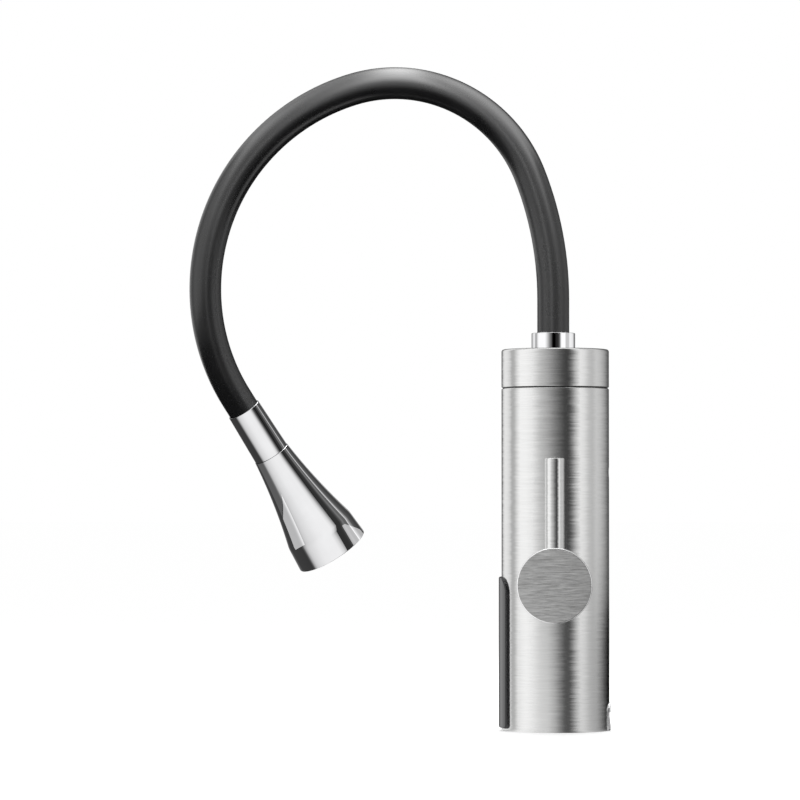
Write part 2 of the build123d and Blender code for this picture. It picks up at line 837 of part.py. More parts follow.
# Thermal cut-out: a round can with the reset button's bore
with BuildPart() as thermal_cutout:
    with BuildSketch(Plane.YZ.offset(cutout_seat)):
        with Locations((0, cutout_height)):
            Circle(cutout_radius)
    extrude(amount=cutout_depth)
    with BuildSketch(Plane.YZ.offset(cutout_seat + cutout_depth)):
        with Locations((0, cutout_height)):
            Circle(button_radius + moving_gap)
    extrude(amount=-cutout_depth + bush_wall / 2, mode=Mode.SUBTRACT)
finish(thermal_cutout, "thermal_cutout")

# Reset button, pressed with a pin through the service hole
button_back = cutout_seat + bush_wall / 2 + button_travel + fit_gap
with BuildPart() as reset_button:
    with BuildSketch(Plane.YZ.offset(button_back)):
        with Locations((0, cutout_height)):
            Circle(button_radius)
    extrude(amount=body_radius - button_recess - button_back)
    fillet(reset_button.edges().group_by(Axis.X)[-1], button_radius / 4)
finish(reset_button, "reset_button")

# Control board behind the display, on the two posts of that side
with BuildPart() as control_board:
    with BuildSketch(Plane.YZ.offset(-board_back)):
        with Locations((0, board_bottom)):
            Rectangle(board_width, board_height, align=(Align.CENTER, Align.MIN))
    extrude(amount=-board_thickness)
finish(control_board, "control_board")

# Display module on the board's outer side
with BuildPart() as display_module:
    with BuildSketch(Plane.YZ.offset(-board_front)):
        with Locations((0, board_bottom + module_lift)):
            Rectangle(module_width, module_height, align=(Align.CENTER, Align.MIN))
    extrude(amount=-module_depth)
    fillet(display_module.edges().group_by(Axis.X)[0], rim_chamfer)
finish(display_module, "display_module")

# Power relay on the board's inner side
with BuildPart() as power_relay:
    with BuildSketch(Plane.YZ.offset(-board_back)):
        with Locations((0, board_bottom + relay_lift)):
            Rectangle(relay_width, relay_height, align=(Align.CENTER, Align.MIN))
    extrude(amount=relay_depth)
finish(power_relay, "power_relay")

# Terminal block for the supply, on the base plate
with BuildPart() as terminal_block:
    terminal_front = socket_radius + socket_flange_width + fit_gap
    with BuildSketch(Plane.XY.offset(base_thickness)):
        with Locations((0, terminal_front)):
            Rectangle(terminal_length, terminal_depth, align=(Align.CENTER, Align.MIN))
    extrude(amount=terminal_height)
    with BuildSketch(Plane.XY.offset(base_thickness + terminal_height)):
        with Locations((0, terminal_front + terminal_depth / 2)):
            with GridLocations(terminal_length / terminal_ways, 1, terminal_ways, 1):
                Circle(terminal_depth / 3)
    extrude(amount=-terminal_height / 2, mode=Mode.SUBTRACT)
finish(terminal_block, "terminal_block")

# Display panel: a curved plate that hugs the shell, rounded at its upper corners
with BuildPart() as display_panel:
    with BuildSketch(Plane.YZ.offset(-body_radius / 2)) as panel_outline:
        with Locations((0, panel_bottom)):
            Rectangle(
                2 * panel_half_width, panel_top - panel_bottom, align=(Align.CENTER, Align.MIN)
            )
        fillet(panel_outline.vertices().group_by(Axis.Y)[-1], panel_top_rounding)
        fillet(panel_outline.vertices().group_by(Axis.Y)[0], panel_bottom_rounding)
    extrude(amount=-body_radius)
    with BuildSketch(Plane.XY):
        Circle(body_radius + seat_gap + panel_thickness)
        Circle(body_radius + seat_gap, mode=Mode.SUBTRACT)
    extrude(amount=body_height, mode=Mode.INTERSECT)
    panel_face = display_panel.faces().filter_by(GeomType.CYLINDER).sort_by(Axis.X)[0]
    fillet(panel_face.edges(), panel_edge_rounding)
finish(display_panel, "display_panel")

# Cable outlet: an arched insert with a hood above the cable hole
with BuildPart() as cable_outlet:
    outlet_half = notch_width / 2 - fit_gap
    with BuildSketch(Plane.YZ.offset(body_radius - outlet_depth)):
        with Locations((0, notch_height - notch_width / 2)):
            Circle(outlet_half)
        Rectangle(
            2 * outlet_half, notch_height - notch_width / 2, align=(Align.CENTER, Align.MIN)
        )
    extrude(amount=outlet_depth + 2 * hood_reach)
    with BuildSketch(Plane.XY):
        Circle(body_radius + hood_reach)
    extrude(amount=notch_height, mode=Mode.INTERSECT)
    with BuildSketch(Plane.XY):
        Circle(body_radius + 3 * hood_reach)
        Circle(body_radius + outlet_rim, mode=Mode.SUBTRACT)
    extrude(amount=hood_bottom, mode=Mode.SUBTRACT)
    with BuildSketch(Plane.YZ.offset(body_radius - outlet_depth)):
        with Locations((0, cable_hole_height)):
            Circle(cable_hole_radius)
    extrude(amount=outlet_depth + 2 * hood_reach, mode=Mode.SUBTRACT)
finish(cable_outlet, "cable_outlet")

# Union nut: clamps the cap on the neck and traps the stem's flange under its lip
with BuildPart() as spout_nut:
    with BuildSketch(spout_side):
        with BuildLine():
            Polyline(
                (neck_radius + seat_gap, body_height),
                (nut_radius, body_height),
                (nut_radius, nut_top - nut_chamfer),
                (nut_radius - nut_chamfer, nut_top),
                (sleeve_radius + moving_gap, nut_top),
                (sleeve_radius + moving_gap, lip_bottom),
                (neck_radius + seat_gap, lip_bottom),
                close=True,
            )
        make_face()
    revolve(axis=spout_axis)
finish(spout_nut, "spout_nut")

# Spout stem: a swivel spigot with two ring grooves, a flange and the hose barb
gooseneck_radius = sleeve_radius - sleeve_wall - fit_gap
hose_radius = gooseneck_radius - gooseneck_wall - fit_gap
hose_bore_radius = hose_radius - hose_wall
barb_radius = hose_bore_radius - seat_gap
stem_bottom = neck_top - stem_depth
groove_radius = stem_radius - ring_section
stem_ring_levels = (stem_bottom + stem_ring_lift, stem_bottom + stem_ring_lift + stem_ring_pitch)
with BuildPart() as spout_stem:
    with BuildSketch(spout_side):
        with BuildLine():
            Polyline(
                (stem_bore_radius, stem_bottom),
                (stem_radius, stem_bottom),
                (stem_radius, neck_top),
                (stem_flange_radius, neck_top),
                (stem_flange_radius, flange_top),
                (barb_radius, flange_top),
                (barb_radius, flange_top + barb_length),
                (stem_bore_radius, flange_top + barb_length),
                close=True,
            )
        make_face()
    revolve(axis=spout_axis)
    for ring_level in stem_ring_levels:
        with BuildSketch(Plane.XY.offset(ring_level)):
            with Locations((spout_x, 0)):
                Circle(stem_radius + cut_margin)
                Circle(groove_radius, mode=Mode.SUBTRACT)
        extrude(amount=ring_height + 2 * seat_gap, mode=Mode.SUBTRACT)
finish(spout_stem, "spout_stem")

# The stem's two seal rings
with BuildPart() as stem_rings:
    for ring_level in stem_ring_levels:
        with BuildSketch(Plane.XY.offset(ring_level + seat_gap)):
            with Locations((spout_x, 0)):
                Circle(stem_radius)
                Circle(groove_radius + seat_gap, mode=Mode.SUBTRACT)
        extrude(amount=ring_height)
finish(stem_rings, "stem_rings")

# Route of the spout: up, over and down in the plane of the picture, then a last
# arc in a plane rolled about the hose, which turns the head away from the lever
with BuildLine(Plane.XZ) as spout_arch:
    rise_run = Line((spout_x, flange_top), (spout_x, flange_top + hose_rise))
    rise_arc = JernArc(rise_run @ 1, rise_run % 1, rise_radius, rise_angle)
    crown_arc = JernArc(rise_arc @ 1, rise_arc % 1, crown_radius, crown_angle)
    JernArc(crown_arc @ 1, crown_arc % 1, fall_radius, fall_angle)
fall_heading = (spout_arch.wires()[0] % 1).normalized()
inward = Vector(-fall_heading.Z, 0, fall_heading.X)
rolled = inward * cos(radians(curl_roll)) + Vector(0, 1, 0) * sin(radians(curl_roll))
curl_plane = Plane(
    origin=spout_arch.wires()[0] @ 1, x_dir=fall_heading, z_dir=fall_heading.cross(rolled)
)
with BuildLine(curl_plane) as spout_curl:
    curl_arc = JernArc((0, 0), (1, 0), curl_radius, curl_angle)
    Line(curl_arc @ 1, curl_arc @ 1 + (curl_arc % 1) * hose_tail)
spout_path = Wire(spout_arch.edges() + spout_curl.edges())
print("spout: hose length", round(spout_path.length, 1), "mm")

# The three tubes of the hose: silicone sleeve, gooseneck and water hose
with BuildPart() as hose_sleeve:
    with BuildSketch(Plane.XY.offset(flange_top)):
        with Locations((spout_x, 0)):
            Circle(sleeve_radius)
            Circle(sleeve_radius - sleeve_wall, mode=Mode.SUBTRACT)
    sweep(path=spout_path)
finish(hose_sleeve, "hose_sleeve")

with BuildPart() as gooseneck:
    with BuildSketch(Plane.XY.offset(flange_top)):
        with Locations((spout_x, 0)):
            Circle(gooseneck_radius)
            Circle(gooseneck_radius - gooseneck_wall, mode=Mode.SUBTRACT)
    sweep(path=spout_path)
finish(gooseneck, "gooseneck")

with BuildPart() as water_hose:
    with BuildSketch(Plane.XY.offset(flange_top)):
        with Locations((spout_x, 0)):
            Circle(hose_radius)
            Circle(hose_bore_radius, mode=Mode.SUBTRACT)
    sweep(path=spout_path)
finish(water_hose, "water_hose")

# The spray head's frame: its origin is the hose's end, and z runs out to the mouth
head_start = spout_path @ 1
head_heading = (spout_path % 1).normalized()
head_across = Vector(0, 1, 0).cross(head_heading).normalized()
head_plane = Plane(origin=head_start, x_dir=head_across, z_dir=head_heading)
head_side = Plane(origin=head_start, x_dir=head_across, z_dir=head_plane.y_dir * -1)
head_axis = Axis(head_start, head_heading)
print("head: start", [round(v, 3) for v in head_start])
print("head: heading", [round(v, 6) for v in head_heading])

# Collar: a slim cone with the barb behind and the swivel spigot in front
spigot_end = collar_length + spigot_reach
with BuildPart() as head_collar:
    with BuildSketch(head_side):
        with BuildLine():
            Polyline(
                (stem_bore_radius, -barb_length + seat_gap),
                (barb_radius, -barb_length + seat_gap),
                (barb_radius, 0),
                (collar_start_radius - collar_chamfer, 0),
                (collar_start_radius, collar_chamfer),
                (collar_end_radius, collar_length - collar_chamfer),
                (collar_end_radius - collar_chamfer, collar_length),
                (head_spigot_radius, collar_length),
                (head_spigot_radius, collar_length + head_ring_lift),
                (head_spigot_radius - ring_section, collar_length + head_ring_lift),
                (
                    head_spigot_radius - ring_section,
                    collar_length + head_ring_lift + ring_height + 2 * seat_gap,
                ),
                (
                    head_spigot_radius,
                    collar_length + head_ring_lift + ring_height + 2 * seat_gap,
                ),
                (head_spigot_radius, spigot_end),
                (core_shank_radius + seat_gap, spigot_end),
                (core_shank_radius + seat_gap, spigot_end - core_shank_length - fit_gap),
                (stem_bore_radius, spigot_end - core_shank_length - fit_gap),
                close=True,
            )
        make_face()
    revolve(axis=head_axis)
finish(head_collar, "head_collar")

# Seal ring on the collar's spigot
with BuildPart() as head_ring:
    with BuildSketch(head_plane.offset(collar_length + head_ring_lift + seat_gap)):
        Circle(head_spigot_radius)
        Circle(head_spigot_radius - ring_section + seat_gap, mode=Mode.SUBTRACT)
    extrude(amount=ring_height)
finish(head_ring, "head_ring")

# Flow core: a hollow screw whose head keeps the spray bell on the spigot
with BuildPart() as flow_core:
    with BuildSketch(head_plane.offset(spigot_end)):
        Circle(core_head_radius)
        Circle(stem_bore_radius, mode=Mode.SUBTRACT)
    extrude(amount=core_head_thickness)
    with BuildSketch(head_plane.offset(spigot_end)):
        Circle(core_shank_radius)
        Circle(stem_bore_radius, mode=Mode.SUBTRACT)
    extrude(amount=-core_shank_length)
finish(flow_core, "flow_core")

# Spray bell: a flared shell that softens into a steeper band before the mouth
bell_start = collar_length + seam_gap
mouth = bell_start + bell_length
crease = bell_start + bell_crease
shoulder = spigot_end - moving_gap
cavity_radius = core_head_radius + moving_gap
cavity_end = spigot_end + core_head_thickness + cavity_room
plate_front = mouth - plate_recess
plate_back = plate_front - plate_thickness
plate_radius = bell_mouth_radius - bell_wall
nozzle_rings = ((inner_ring_radius, inner_ring_count), (outer_ring_radius, outer_ring_count))
with BuildPart() as spray_bell:
    with BuildSketch(head_side) as bell_section:
        with BuildLine():
            flare = ThreePointArc(
                (bell_neck_radius, bell_start),
                (bell_waist_radius, bell_start + bell_waist),
                (bell_crease_radius, crease),
            )
            Polyline(
                flare @ 1,
                (bell_mouth_radius, mouth),
                (plate_radius, mouth),
                (plate_radius, plate_back),
                (plate_radius - plate_shoulder, plate_back),
                (plate_radius - plate_shoulder, crease),
            )
            Line(
                (plate_radius - plate_shoulder, crease),
                (cavity_radius, cavity_end),
            )
            Polyline(
                (cavity_radius, cavity_end),
                (cavity_radius, shoulder),
                (head_spigot_radius + bearing_gap, shoulder),
                (head_spigot_radius + bearing_gap, bell_start),
                flare @ 0,
            )
        make_face()
        crease_corner = bell_section.vertices().sort_by_distance((bell_crease_radius, crease))[0]
        fillet(crease_corner, bell_softening)
    revolve(axis=head_axis)
finish(spray_bell, "spray_bell")

# Nozzle plate with two rings of raised nozzles round the aerator
with BuildPart() as nozzle_plate:
    with BuildSketch(head_plane.offset(plate_back)):
        Circle(plate_radius - fit_gap)
        Circle(aerator_radius + fit_gap, mode=Mode.SUBTRACT)
    extrude(amount=plate_thickness)
    for ring_radius, nozzle_count in nozzle_rings:
        with BuildSketch(head_plane.offset(plate_front)):
            with PolarLocations(ring_radius, nozzle_count):
                Circle(nozzle_radius)
        extrude(amount=nozzle_height)
        with BuildSketch(head_plane.offset(plate_back)):
            with PolarLocations(ring_radius, nozzle_count):
                Circle(nozzle_hole_radius)
        extrude(amount=plate_thickness + nozzle_height, mode=Mode.SUBTRACT)
finish(nozzle_plate, "nozzle_plate")

# Aerator in the middle of the plate
with BuildPart() as aerator:
    with BuildSketch(head_plane.offset(plate_front - aerator_height)):
        Circle(aerator_radius)
    extrude(amount=aerator_height)
    with BuildSketch(head_plane.offset(plate_front - aerator_height)):
        with HexLocations(grid_pitch / 2, grid_count, grid_count):
            Circle(grid_hole_radius)
    extrude(amount=aerator_height, mode=Mode.SUBTRACT)
finish(aerator, "aerator")
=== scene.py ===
import json
import math

import bmesh
import bpy
from mathutils import Euler, Matrix, Vector


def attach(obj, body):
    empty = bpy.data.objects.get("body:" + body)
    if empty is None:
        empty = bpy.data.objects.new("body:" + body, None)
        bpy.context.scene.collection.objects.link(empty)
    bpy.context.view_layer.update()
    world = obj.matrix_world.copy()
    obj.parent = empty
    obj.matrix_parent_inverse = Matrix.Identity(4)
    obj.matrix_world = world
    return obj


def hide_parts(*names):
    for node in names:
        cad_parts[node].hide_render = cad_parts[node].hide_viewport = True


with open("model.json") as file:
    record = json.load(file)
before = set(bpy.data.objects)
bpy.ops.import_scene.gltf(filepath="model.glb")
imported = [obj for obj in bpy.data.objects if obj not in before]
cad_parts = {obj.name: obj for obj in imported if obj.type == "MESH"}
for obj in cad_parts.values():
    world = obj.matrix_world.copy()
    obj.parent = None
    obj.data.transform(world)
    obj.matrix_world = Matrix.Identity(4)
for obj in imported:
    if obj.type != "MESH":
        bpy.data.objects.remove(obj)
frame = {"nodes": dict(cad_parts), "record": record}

mm = 0.001
scene = bpy.context.scene
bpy.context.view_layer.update()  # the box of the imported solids
print("frame loaded:", len(frame["nodes"]), "nodes")


# Shape helpers: every piece is a bmesh in millimetres until it is placed

def wholeOf(work):
    return work.verts[:] + work.edges[:] + work.faces[:]


def spinProfile(points, steps, closed=True):
    work = bmesh.new()
    corners = [work.verts.new((radius, 0, height)) for radius, height in points]
    for first, second in zip(corners, corners[1:]):
        work.edges.new((first, second))
    if closed:
        work.edges.new((corners[-1], corners[0]))
    bmesh.ops.spin(
        work, geom=work.verts[:] + work.edges[:], cent=(0, 0, 0), axis=(0, 0, 1),
        dvec=(0, 0, 0), angle=2 * math.pi, steps=steps, use_merge=True, use_duplicate=False,
    )
    bmesh.ops.remove_doubles(work, verts=work.verts[:], dist=1e-5)
    bmesh.ops.recalc_face_normals(work, faces=work.faces[:])
    return work


def roundRing(work, radius, height, width, segments=5):
    # softens the round edge that lies at this radius and height
    rim = [
        edge for edge in work.edges
        if all(abs(v.co.xy.length - radius) < 1e-3 and abs(v.co.z - height) < 1e-3 for v in edge.verts)
    ]
    bmesh.ops.bevel(
        work, geom=rim, offset=width, offset_type="OFFSET", segments=segments,
        profile=0.5, affect="EDGES", material=-1, clamp_overlap=True,
    )


def fillArc(start, middle, end, steps):
    # points of the arc through three points, for a turned profile
    (ax, ay), (bx, by), (cx, cy) = start, middle, end
    d = 2 * (ax * (by - cy) + bx * (cy - ay) + cx * (ay - by))
    ux = ((ax**2 + ay**2) * (by - cy) + (bx**2 + by**2) * (cy - ay) + (cx**2 + cy**2) * (ay - by)) / d
    uy = ((ax**2 + ay**2) * (cx - bx) + (bx**2 + by**2) * (ax - cx) + (cx**2 + cy**2) * (bx - ax)) / d
    radius = math.hypot(ax - ux, ay - uy)
    a0 = math.atan2(ay - uy, ax - ux)
    sweep = math.atan2(cy - uy, cx - ux) - a0
    sweep = (sweep + math.pi) % (2 * math.pi) - math.pi
    return [
        (ux + radius * math.cos(a0 + sweep * i / steps), uy + radius * math.sin(a0 + sweep * i / steps))
        for i in range(steps + 1)
    ]


def makeObject(work, name):
    mesh = bpy.data.meshes.new(name)
    work.to_mesh(mesh)
    work.free()
    made = bpy.data.objects.new(name, mesh)
    scene.collection.objects.link(made)
    return made


def placePiece(work, name, body, material, stands=(), at=None, angle=32):
    bmesh.ops.transform(work, matrix=at or Matrix.Identity(4), verts=work.verts[:])
    bmesh.ops.scale(work, vec=(mm, mm, mm), verts=work.verts[:])
    piece = makeObject(work, name)
    piece.data.shade_smooth()
    piece.data.set_sharp_from_angle(angle=math.radians(angle))
    piece.data.materials.append(material)
    weigh = piece.modifiers.new("normals", "WEIGHTED_NORMAL")
    weigh.keep_sharp = True  # walls keep their own direction beside small bevels
    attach(piece, body)
    if stands:
        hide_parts(*stands)
    return piece


# Material helpers

def newMaterial(name):
    material = bpy.data.materials.new(name)
    material.use_nodes = True
    tree = material.node_tree
    return material, tree, tree.nodes["Principled BSDF"]


def addNode(tree, kind, settings=None, **inputs):
    node = tree.nodes.new(kind)
    for key, value in (settings or {}).items():
        setattr(node, key, value)
    for key, value in inputs.items():
        node.inputs[key.replace("_", " ")].default_value = value
    return node


def stretchedNoise(tree, scale, detail=4.0, rough=0.6, distortion=0.0):
    # noise on the object's own coordinates, stretched by the scale of each axis
    coords = addNode(tree, "ShaderNodeTexCoord")
    mapping = addNode(tree, "ShaderNodeMapping", Scale=scale)
    noise = addNode(
        tree, "ShaderNodeTexNoise", Scale=1.0, Detail=detail, Roughness=rough, Distortion=distortion,
    )
    tree.links.new(coords.outputs["Object"], mapping.inputs["Vector"])
    tree.links.new(mapping.outputs["Vector"], noise.inputs["Vector"])
    return noise.outputs["Fac"]


def spread(tree, value, low, high, fromLow=0.3, fromHigh=0.7):
    node = addNode(tree, "ShaderNodeMapRange", From_Min=fromLow, From_Max=fromHigh, To_Min=low, To_Max=high)
    tree.links.new(value, node.inputs["Value"])
    return node.outputs["Result"]


def blendColours(tree, value, low, high):
    node = addNode(tree, "ShaderNodeMix", {"data_type": "RGBA"})
    node.inputs[6].default_value = (*low, 1)
    node.inputs[7].default_value = (*high, 1)
    tree.links.new(value, node.inputs[0])
    return node.outputs[2]


def gradeSurface(tree, shader, value, look):
    # colour and roughness follow the same noise
    colour = blendColours(tree, spread(tree, value, 0, 1), look["dark"], look["light"])
    tree.links.new(colour, shader.inputs["Base Color"])
    tree.links.new(spread(tree, value, *look["roughness"]), shader.inputs["Roughness"])


def bumpFrom(tree, value, look, onto=None):
    node = addNode(tree, "ShaderNodeBump", Strength=look["bump"], Distance=look["bumpDepth"])
    tree.links.new(value, node.inputs["Height"])
    if onto is not None:
        tree.links.new(onto, node.inputs["Normal"])
    return node.outputs["Normal"]


def brushedSteel(name, look):
    # fine lines round the axis: noise leans the normal along them, and the gloss is stretched across them
    material, tree, shader = newMaterial(name)
    fine = stretchedNoise(tree, look["fineScale"], 5.0, 0.65, look["waver"])
    broad = stretchedNoise(tree, look["broadScale"], 3.0, 0.5)
    both = addNode(tree, "ShaderNodeMix", {"data_type": "FLOAT"}, Factor=look["broadShare"])
    tree.links.new(fine, both.inputs[2])
    tree.links.new(broad, both.inputs[3])
    gradeSurface(tree, shader, both.outputs[0], look)
    tangent = addNode(tree, "ShaderNodeTangent", {"direction_type": "RADIAL", "axis": look["axis"]})
    grooves = stretchedNoise(tree, look["grooveScale"], 2.0, 0.5, look["waver"])
    lean = spread(tree, grooves, -look["lean"], look["lean"], 0.25, 0.75)
    sideways = addNode(tree, "ShaderNodeVectorMath", {"operation": "SCALE"})
    leaning = addNode(tree, "ShaderNodeVectorMath", {"operation": "ADD"})
    upright = addNode(tree, "ShaderNodeVectorMath", {"operation": "NORMALIZE"})
    surface = addNode(tree, "ShaderNodeNewGeometry")
    tree.links.new(tangent.outputs["Tangent"], sideways.inputs[0])
    tree.links.new(lean, sideways.inputs["Scale"])
    tree.links.new(surface.outputs["Normal"], leaning.inputs[0])
    tree.links.new(sideways.outputs[0], leaning.inputs[1])
    tree.links.new(leaning.outputs[0], upright.inputs[0])
    tree.links.new(bumpFrom(tree, fine, look, upright.outputs[0]), shader.inputs["Normal"])
    tree.links.new(tangent.outputs["Tangent"], shader.inputs["Tangent"])
    shader.inputs["Metallic"].default_value = 1.0
    shader.inputs["Anisotropic"].default_value = look["anisotropy"]
    shader.inputs["Anisotropic Rotation"].default_value = look["grainTurn"]
    return material


def polishedMetal(name, look):
    material, tree, shader = newMaterial(name)
    smudge = stretchedNoise(tree, look["smudgeScale"], 4.0, 0.6)
    ripple = stretchedNoise(tree, look["rippleScale"], 2.0, 0.5)
    gradeSurface(tree, shader, smudge, look)
    tree.links.new(bumpFrom(tree, ripple, look), shader.inputs["Normal"])
    shader.inputs["Metallic"].default_value = 1.0
    return material


def mouldedPlastic(name, look):
    material, tree, shader = newMaterial(name)
    grain = stretchedNoise(tree, look["grainScale"], 5.0, 0.6)
    cloud = stretchedNoise(tree, look["cloudScale"], 3.0, 0.5)
    gradeSurface(tree, shader, cloud, look)
    tree.links.new(bumpFrom(tree, grain, look), shader.inputs["Normal"])
    shader.inputs["Specular IOR Level"].default_value = look.get("specular", 0.5)
    shader.inputs["Coat Weight"].default_value = look.get("coat", 0.0)
    shader.inputs["Coat Roughness"].default_value = look.get("coatRoughness", 0.03)
    return material


# Camera: a little above the middle of the column, far off with a long lens
cameraLook = {"place": (0.022, -2.162, 0.1184), "lens": 180.0, "yaw": 0.04901, "pitch": 0.0277}
cameraData = bpy.data.cameras.new("productCamera")
cameraData.lens = cameraLook["lens"]
cameraData.sensor_width = 36.0
cameraData.clip_start, cameraData.clip_end = 0.05, 60.0
camera = bpy.data.objects.new("productCamera", cameraData)
scene.collection.objects.link(camera)
camera.location = cameraLook["place"]
aim = Vector((-cameraLook["yaw"], 1.0, cameraLook["pitch"]))
camera.rotation_euler = aim.to_track_quat("-Z", "Y").to_euler()
scene.camera = camera
scene.view_settings.view_transform = "Standard"
print("camera set")


# Studio: a white room that is dimmer for diffuse light than for gloss and the camera, and a pale floor
roomLook = {"fill": 0.72}
world = bpy.data.worlds.new("whiteRoom")
scene.world = world
world.use_nodes = True
tree = world.node_tree
tree.nodes.clear()
seen = addNode(tree, "ShaderNodeBackground", Color=(1, 1, 1, 1), Strength=1.0)
fill = addNode(tree, "ShaderNodeBackground", Color=(1, 1, 1, 1), Strength=roomLook["fill"])
path = addNode(tree, "ShaderNodeLightPath")
cameraOrGloss = addNode(tree, "ShaderNodeMath", {"operation": "MAXIMUM"})
orGlass = addNode(tree, "ShaderNodeMath", {"operation": "MAXIMUM"})
choose = addNode(tree, "ShaderNodeMixShader")
worldOut = addNode(tree, "ShaderNodeOutputWorld")
tree.links.new(path.outputs["Is Camera Ray"], cameraOrGloss.inputs[0])
tree.links.new(path.outputs["Is Glossy Ray"], cameraOrGloss.inputs[1])
tree.links.new(cameraOrGloss.outputs[0], orGlass.inputs[0])
tree.links.new(path.outputs["Is Transmission Ray"], orGlass.inputs[1])
tree.links.new(orGlass.outputs[0], choose.inputs[0])
tree.links.new(fill.outputs[0], choose.inputs[1])
tree.links.new(seen.outputs[0], choose.inputs[2])
tree.links.new(choose.outputs[0], worldOut.inputs["Surface"])

floorLook = {"size": 40.0, "colour": (0.8, 0.8, 0.8), "glow": 0.42}
work = bmesh.new()
bmesh.ops.create_grid(work, x_segments=8, y_segments=8, size=floorLook["size"])
studioFloor = makeObject(work, "studioFloor")
material, tree, shader = newMaterial("paleFloor")
tree.nodes.remove(shader)
out = tree.nodes["Material Output"]
paper = addNode(tree, "ShaderNodeBsdfDiffuse", Color=(*floorLook["colour"], 1))
glow = addNode(tree, "ShaderNodeEmission", Color=(1, 1, 1, 1), Strength=floorLook["glow"])
path = addNode(tree, "ShaderNodeLightPath")
glowShare = addNode(tree, "ShaderNodeMixShader")
both = addNode(tree, "ShaderNodeAddShader")
dark = addNode(tree, "ShaderNodeEmission", Color=(0, 0, 0, 1), Strength=0.0)
seenOrGloss = addNode(tree, "ShaderNodeMath", {"operation": "MAXIMUM"})
tree.links.new(path.outputs["Is Camera Ray"], seenOrGloss.inputs[0])
tree.links.new(path.outputs["Is Glossy Ray"], seenOrGloss.inputs[1])
tree.links.new(seenOrGloss.outputs[0], glowShare.inputs[0])
tree.links.new(dark.outputs[0], glowShare.inputs[1])
tree.links.new(glow.outputs[0], glowShare.inputs[2])
tree.links.new(paper.outputs[0], both.inputs[0])
tree.links.new(glowShare.outputs[0], both.inputs[1])
tree.links.new(both.outputs[0], out.inputs["Surface"])
studioFloor.data.materials.append(material)

# Graded cards round the object, which only gloss sees. Levels go by the angle about the card's centre,
# in degrees from the camera's side, plus to the right; where around is given, by the direction of the
# ray off a round piece of that radius, which meets the card at its own radius or at metAt. A clear card
# adds its light and hides nothing. From and to, plus to the left, leave out a part of the round, and
# along is a second grade by the card's own height
columnLevels = [
    (-180, 0.05), (-168, 0.05), (-160, 0.16), (-152, 0.5), (-144, 0.82), (-134, 0.92), (-122, 0.86),
    (-113, 0.72), (-106, 0.48), (-98, 0.52), (-90, 0.8), (-81, 1.06), (-66, 1.05), (-50, 0.95),
    (-32, 0.6), (-15, 0.41), (0, 0.22), (11, 0.12), (20, 0.065), (26, 0.055), (31, 0.08), (38, 0.24),
    (46, 0.58), (56, 0.95), (66, 0.86), (78, 0.62), (87, 0.56), (100, 0.68), (114, 0.6), (132, 0.38),
    (150, 0.14), (180, 0.05),
]
floorLevels = [
    (-180, 0.0), (-168, 0.02), (-160, 0.16), (-150, 0.55), (-142, 0.84), (-121, 0.82), (-112, 0.7),
    (-106, 0.46), (-98, 0.5), (-90, 0.75), (-81, 0.95), (-66, 1.05), (-50, 0.95), (-32, 0.78),
    (-15, 0.72), (0, 0.5), (11, 0.27), (20, 0.12), (26, 0.1), (31, 0.1), (38, 0.24), (46, 0.5),
    (56, 0.74), (66, 0.68), (78, 0.52), (87, 0.46), (100, 0.4), (114, 0.24), (132, 0.08), (150, 0.01),
    (180, 0.0),
]
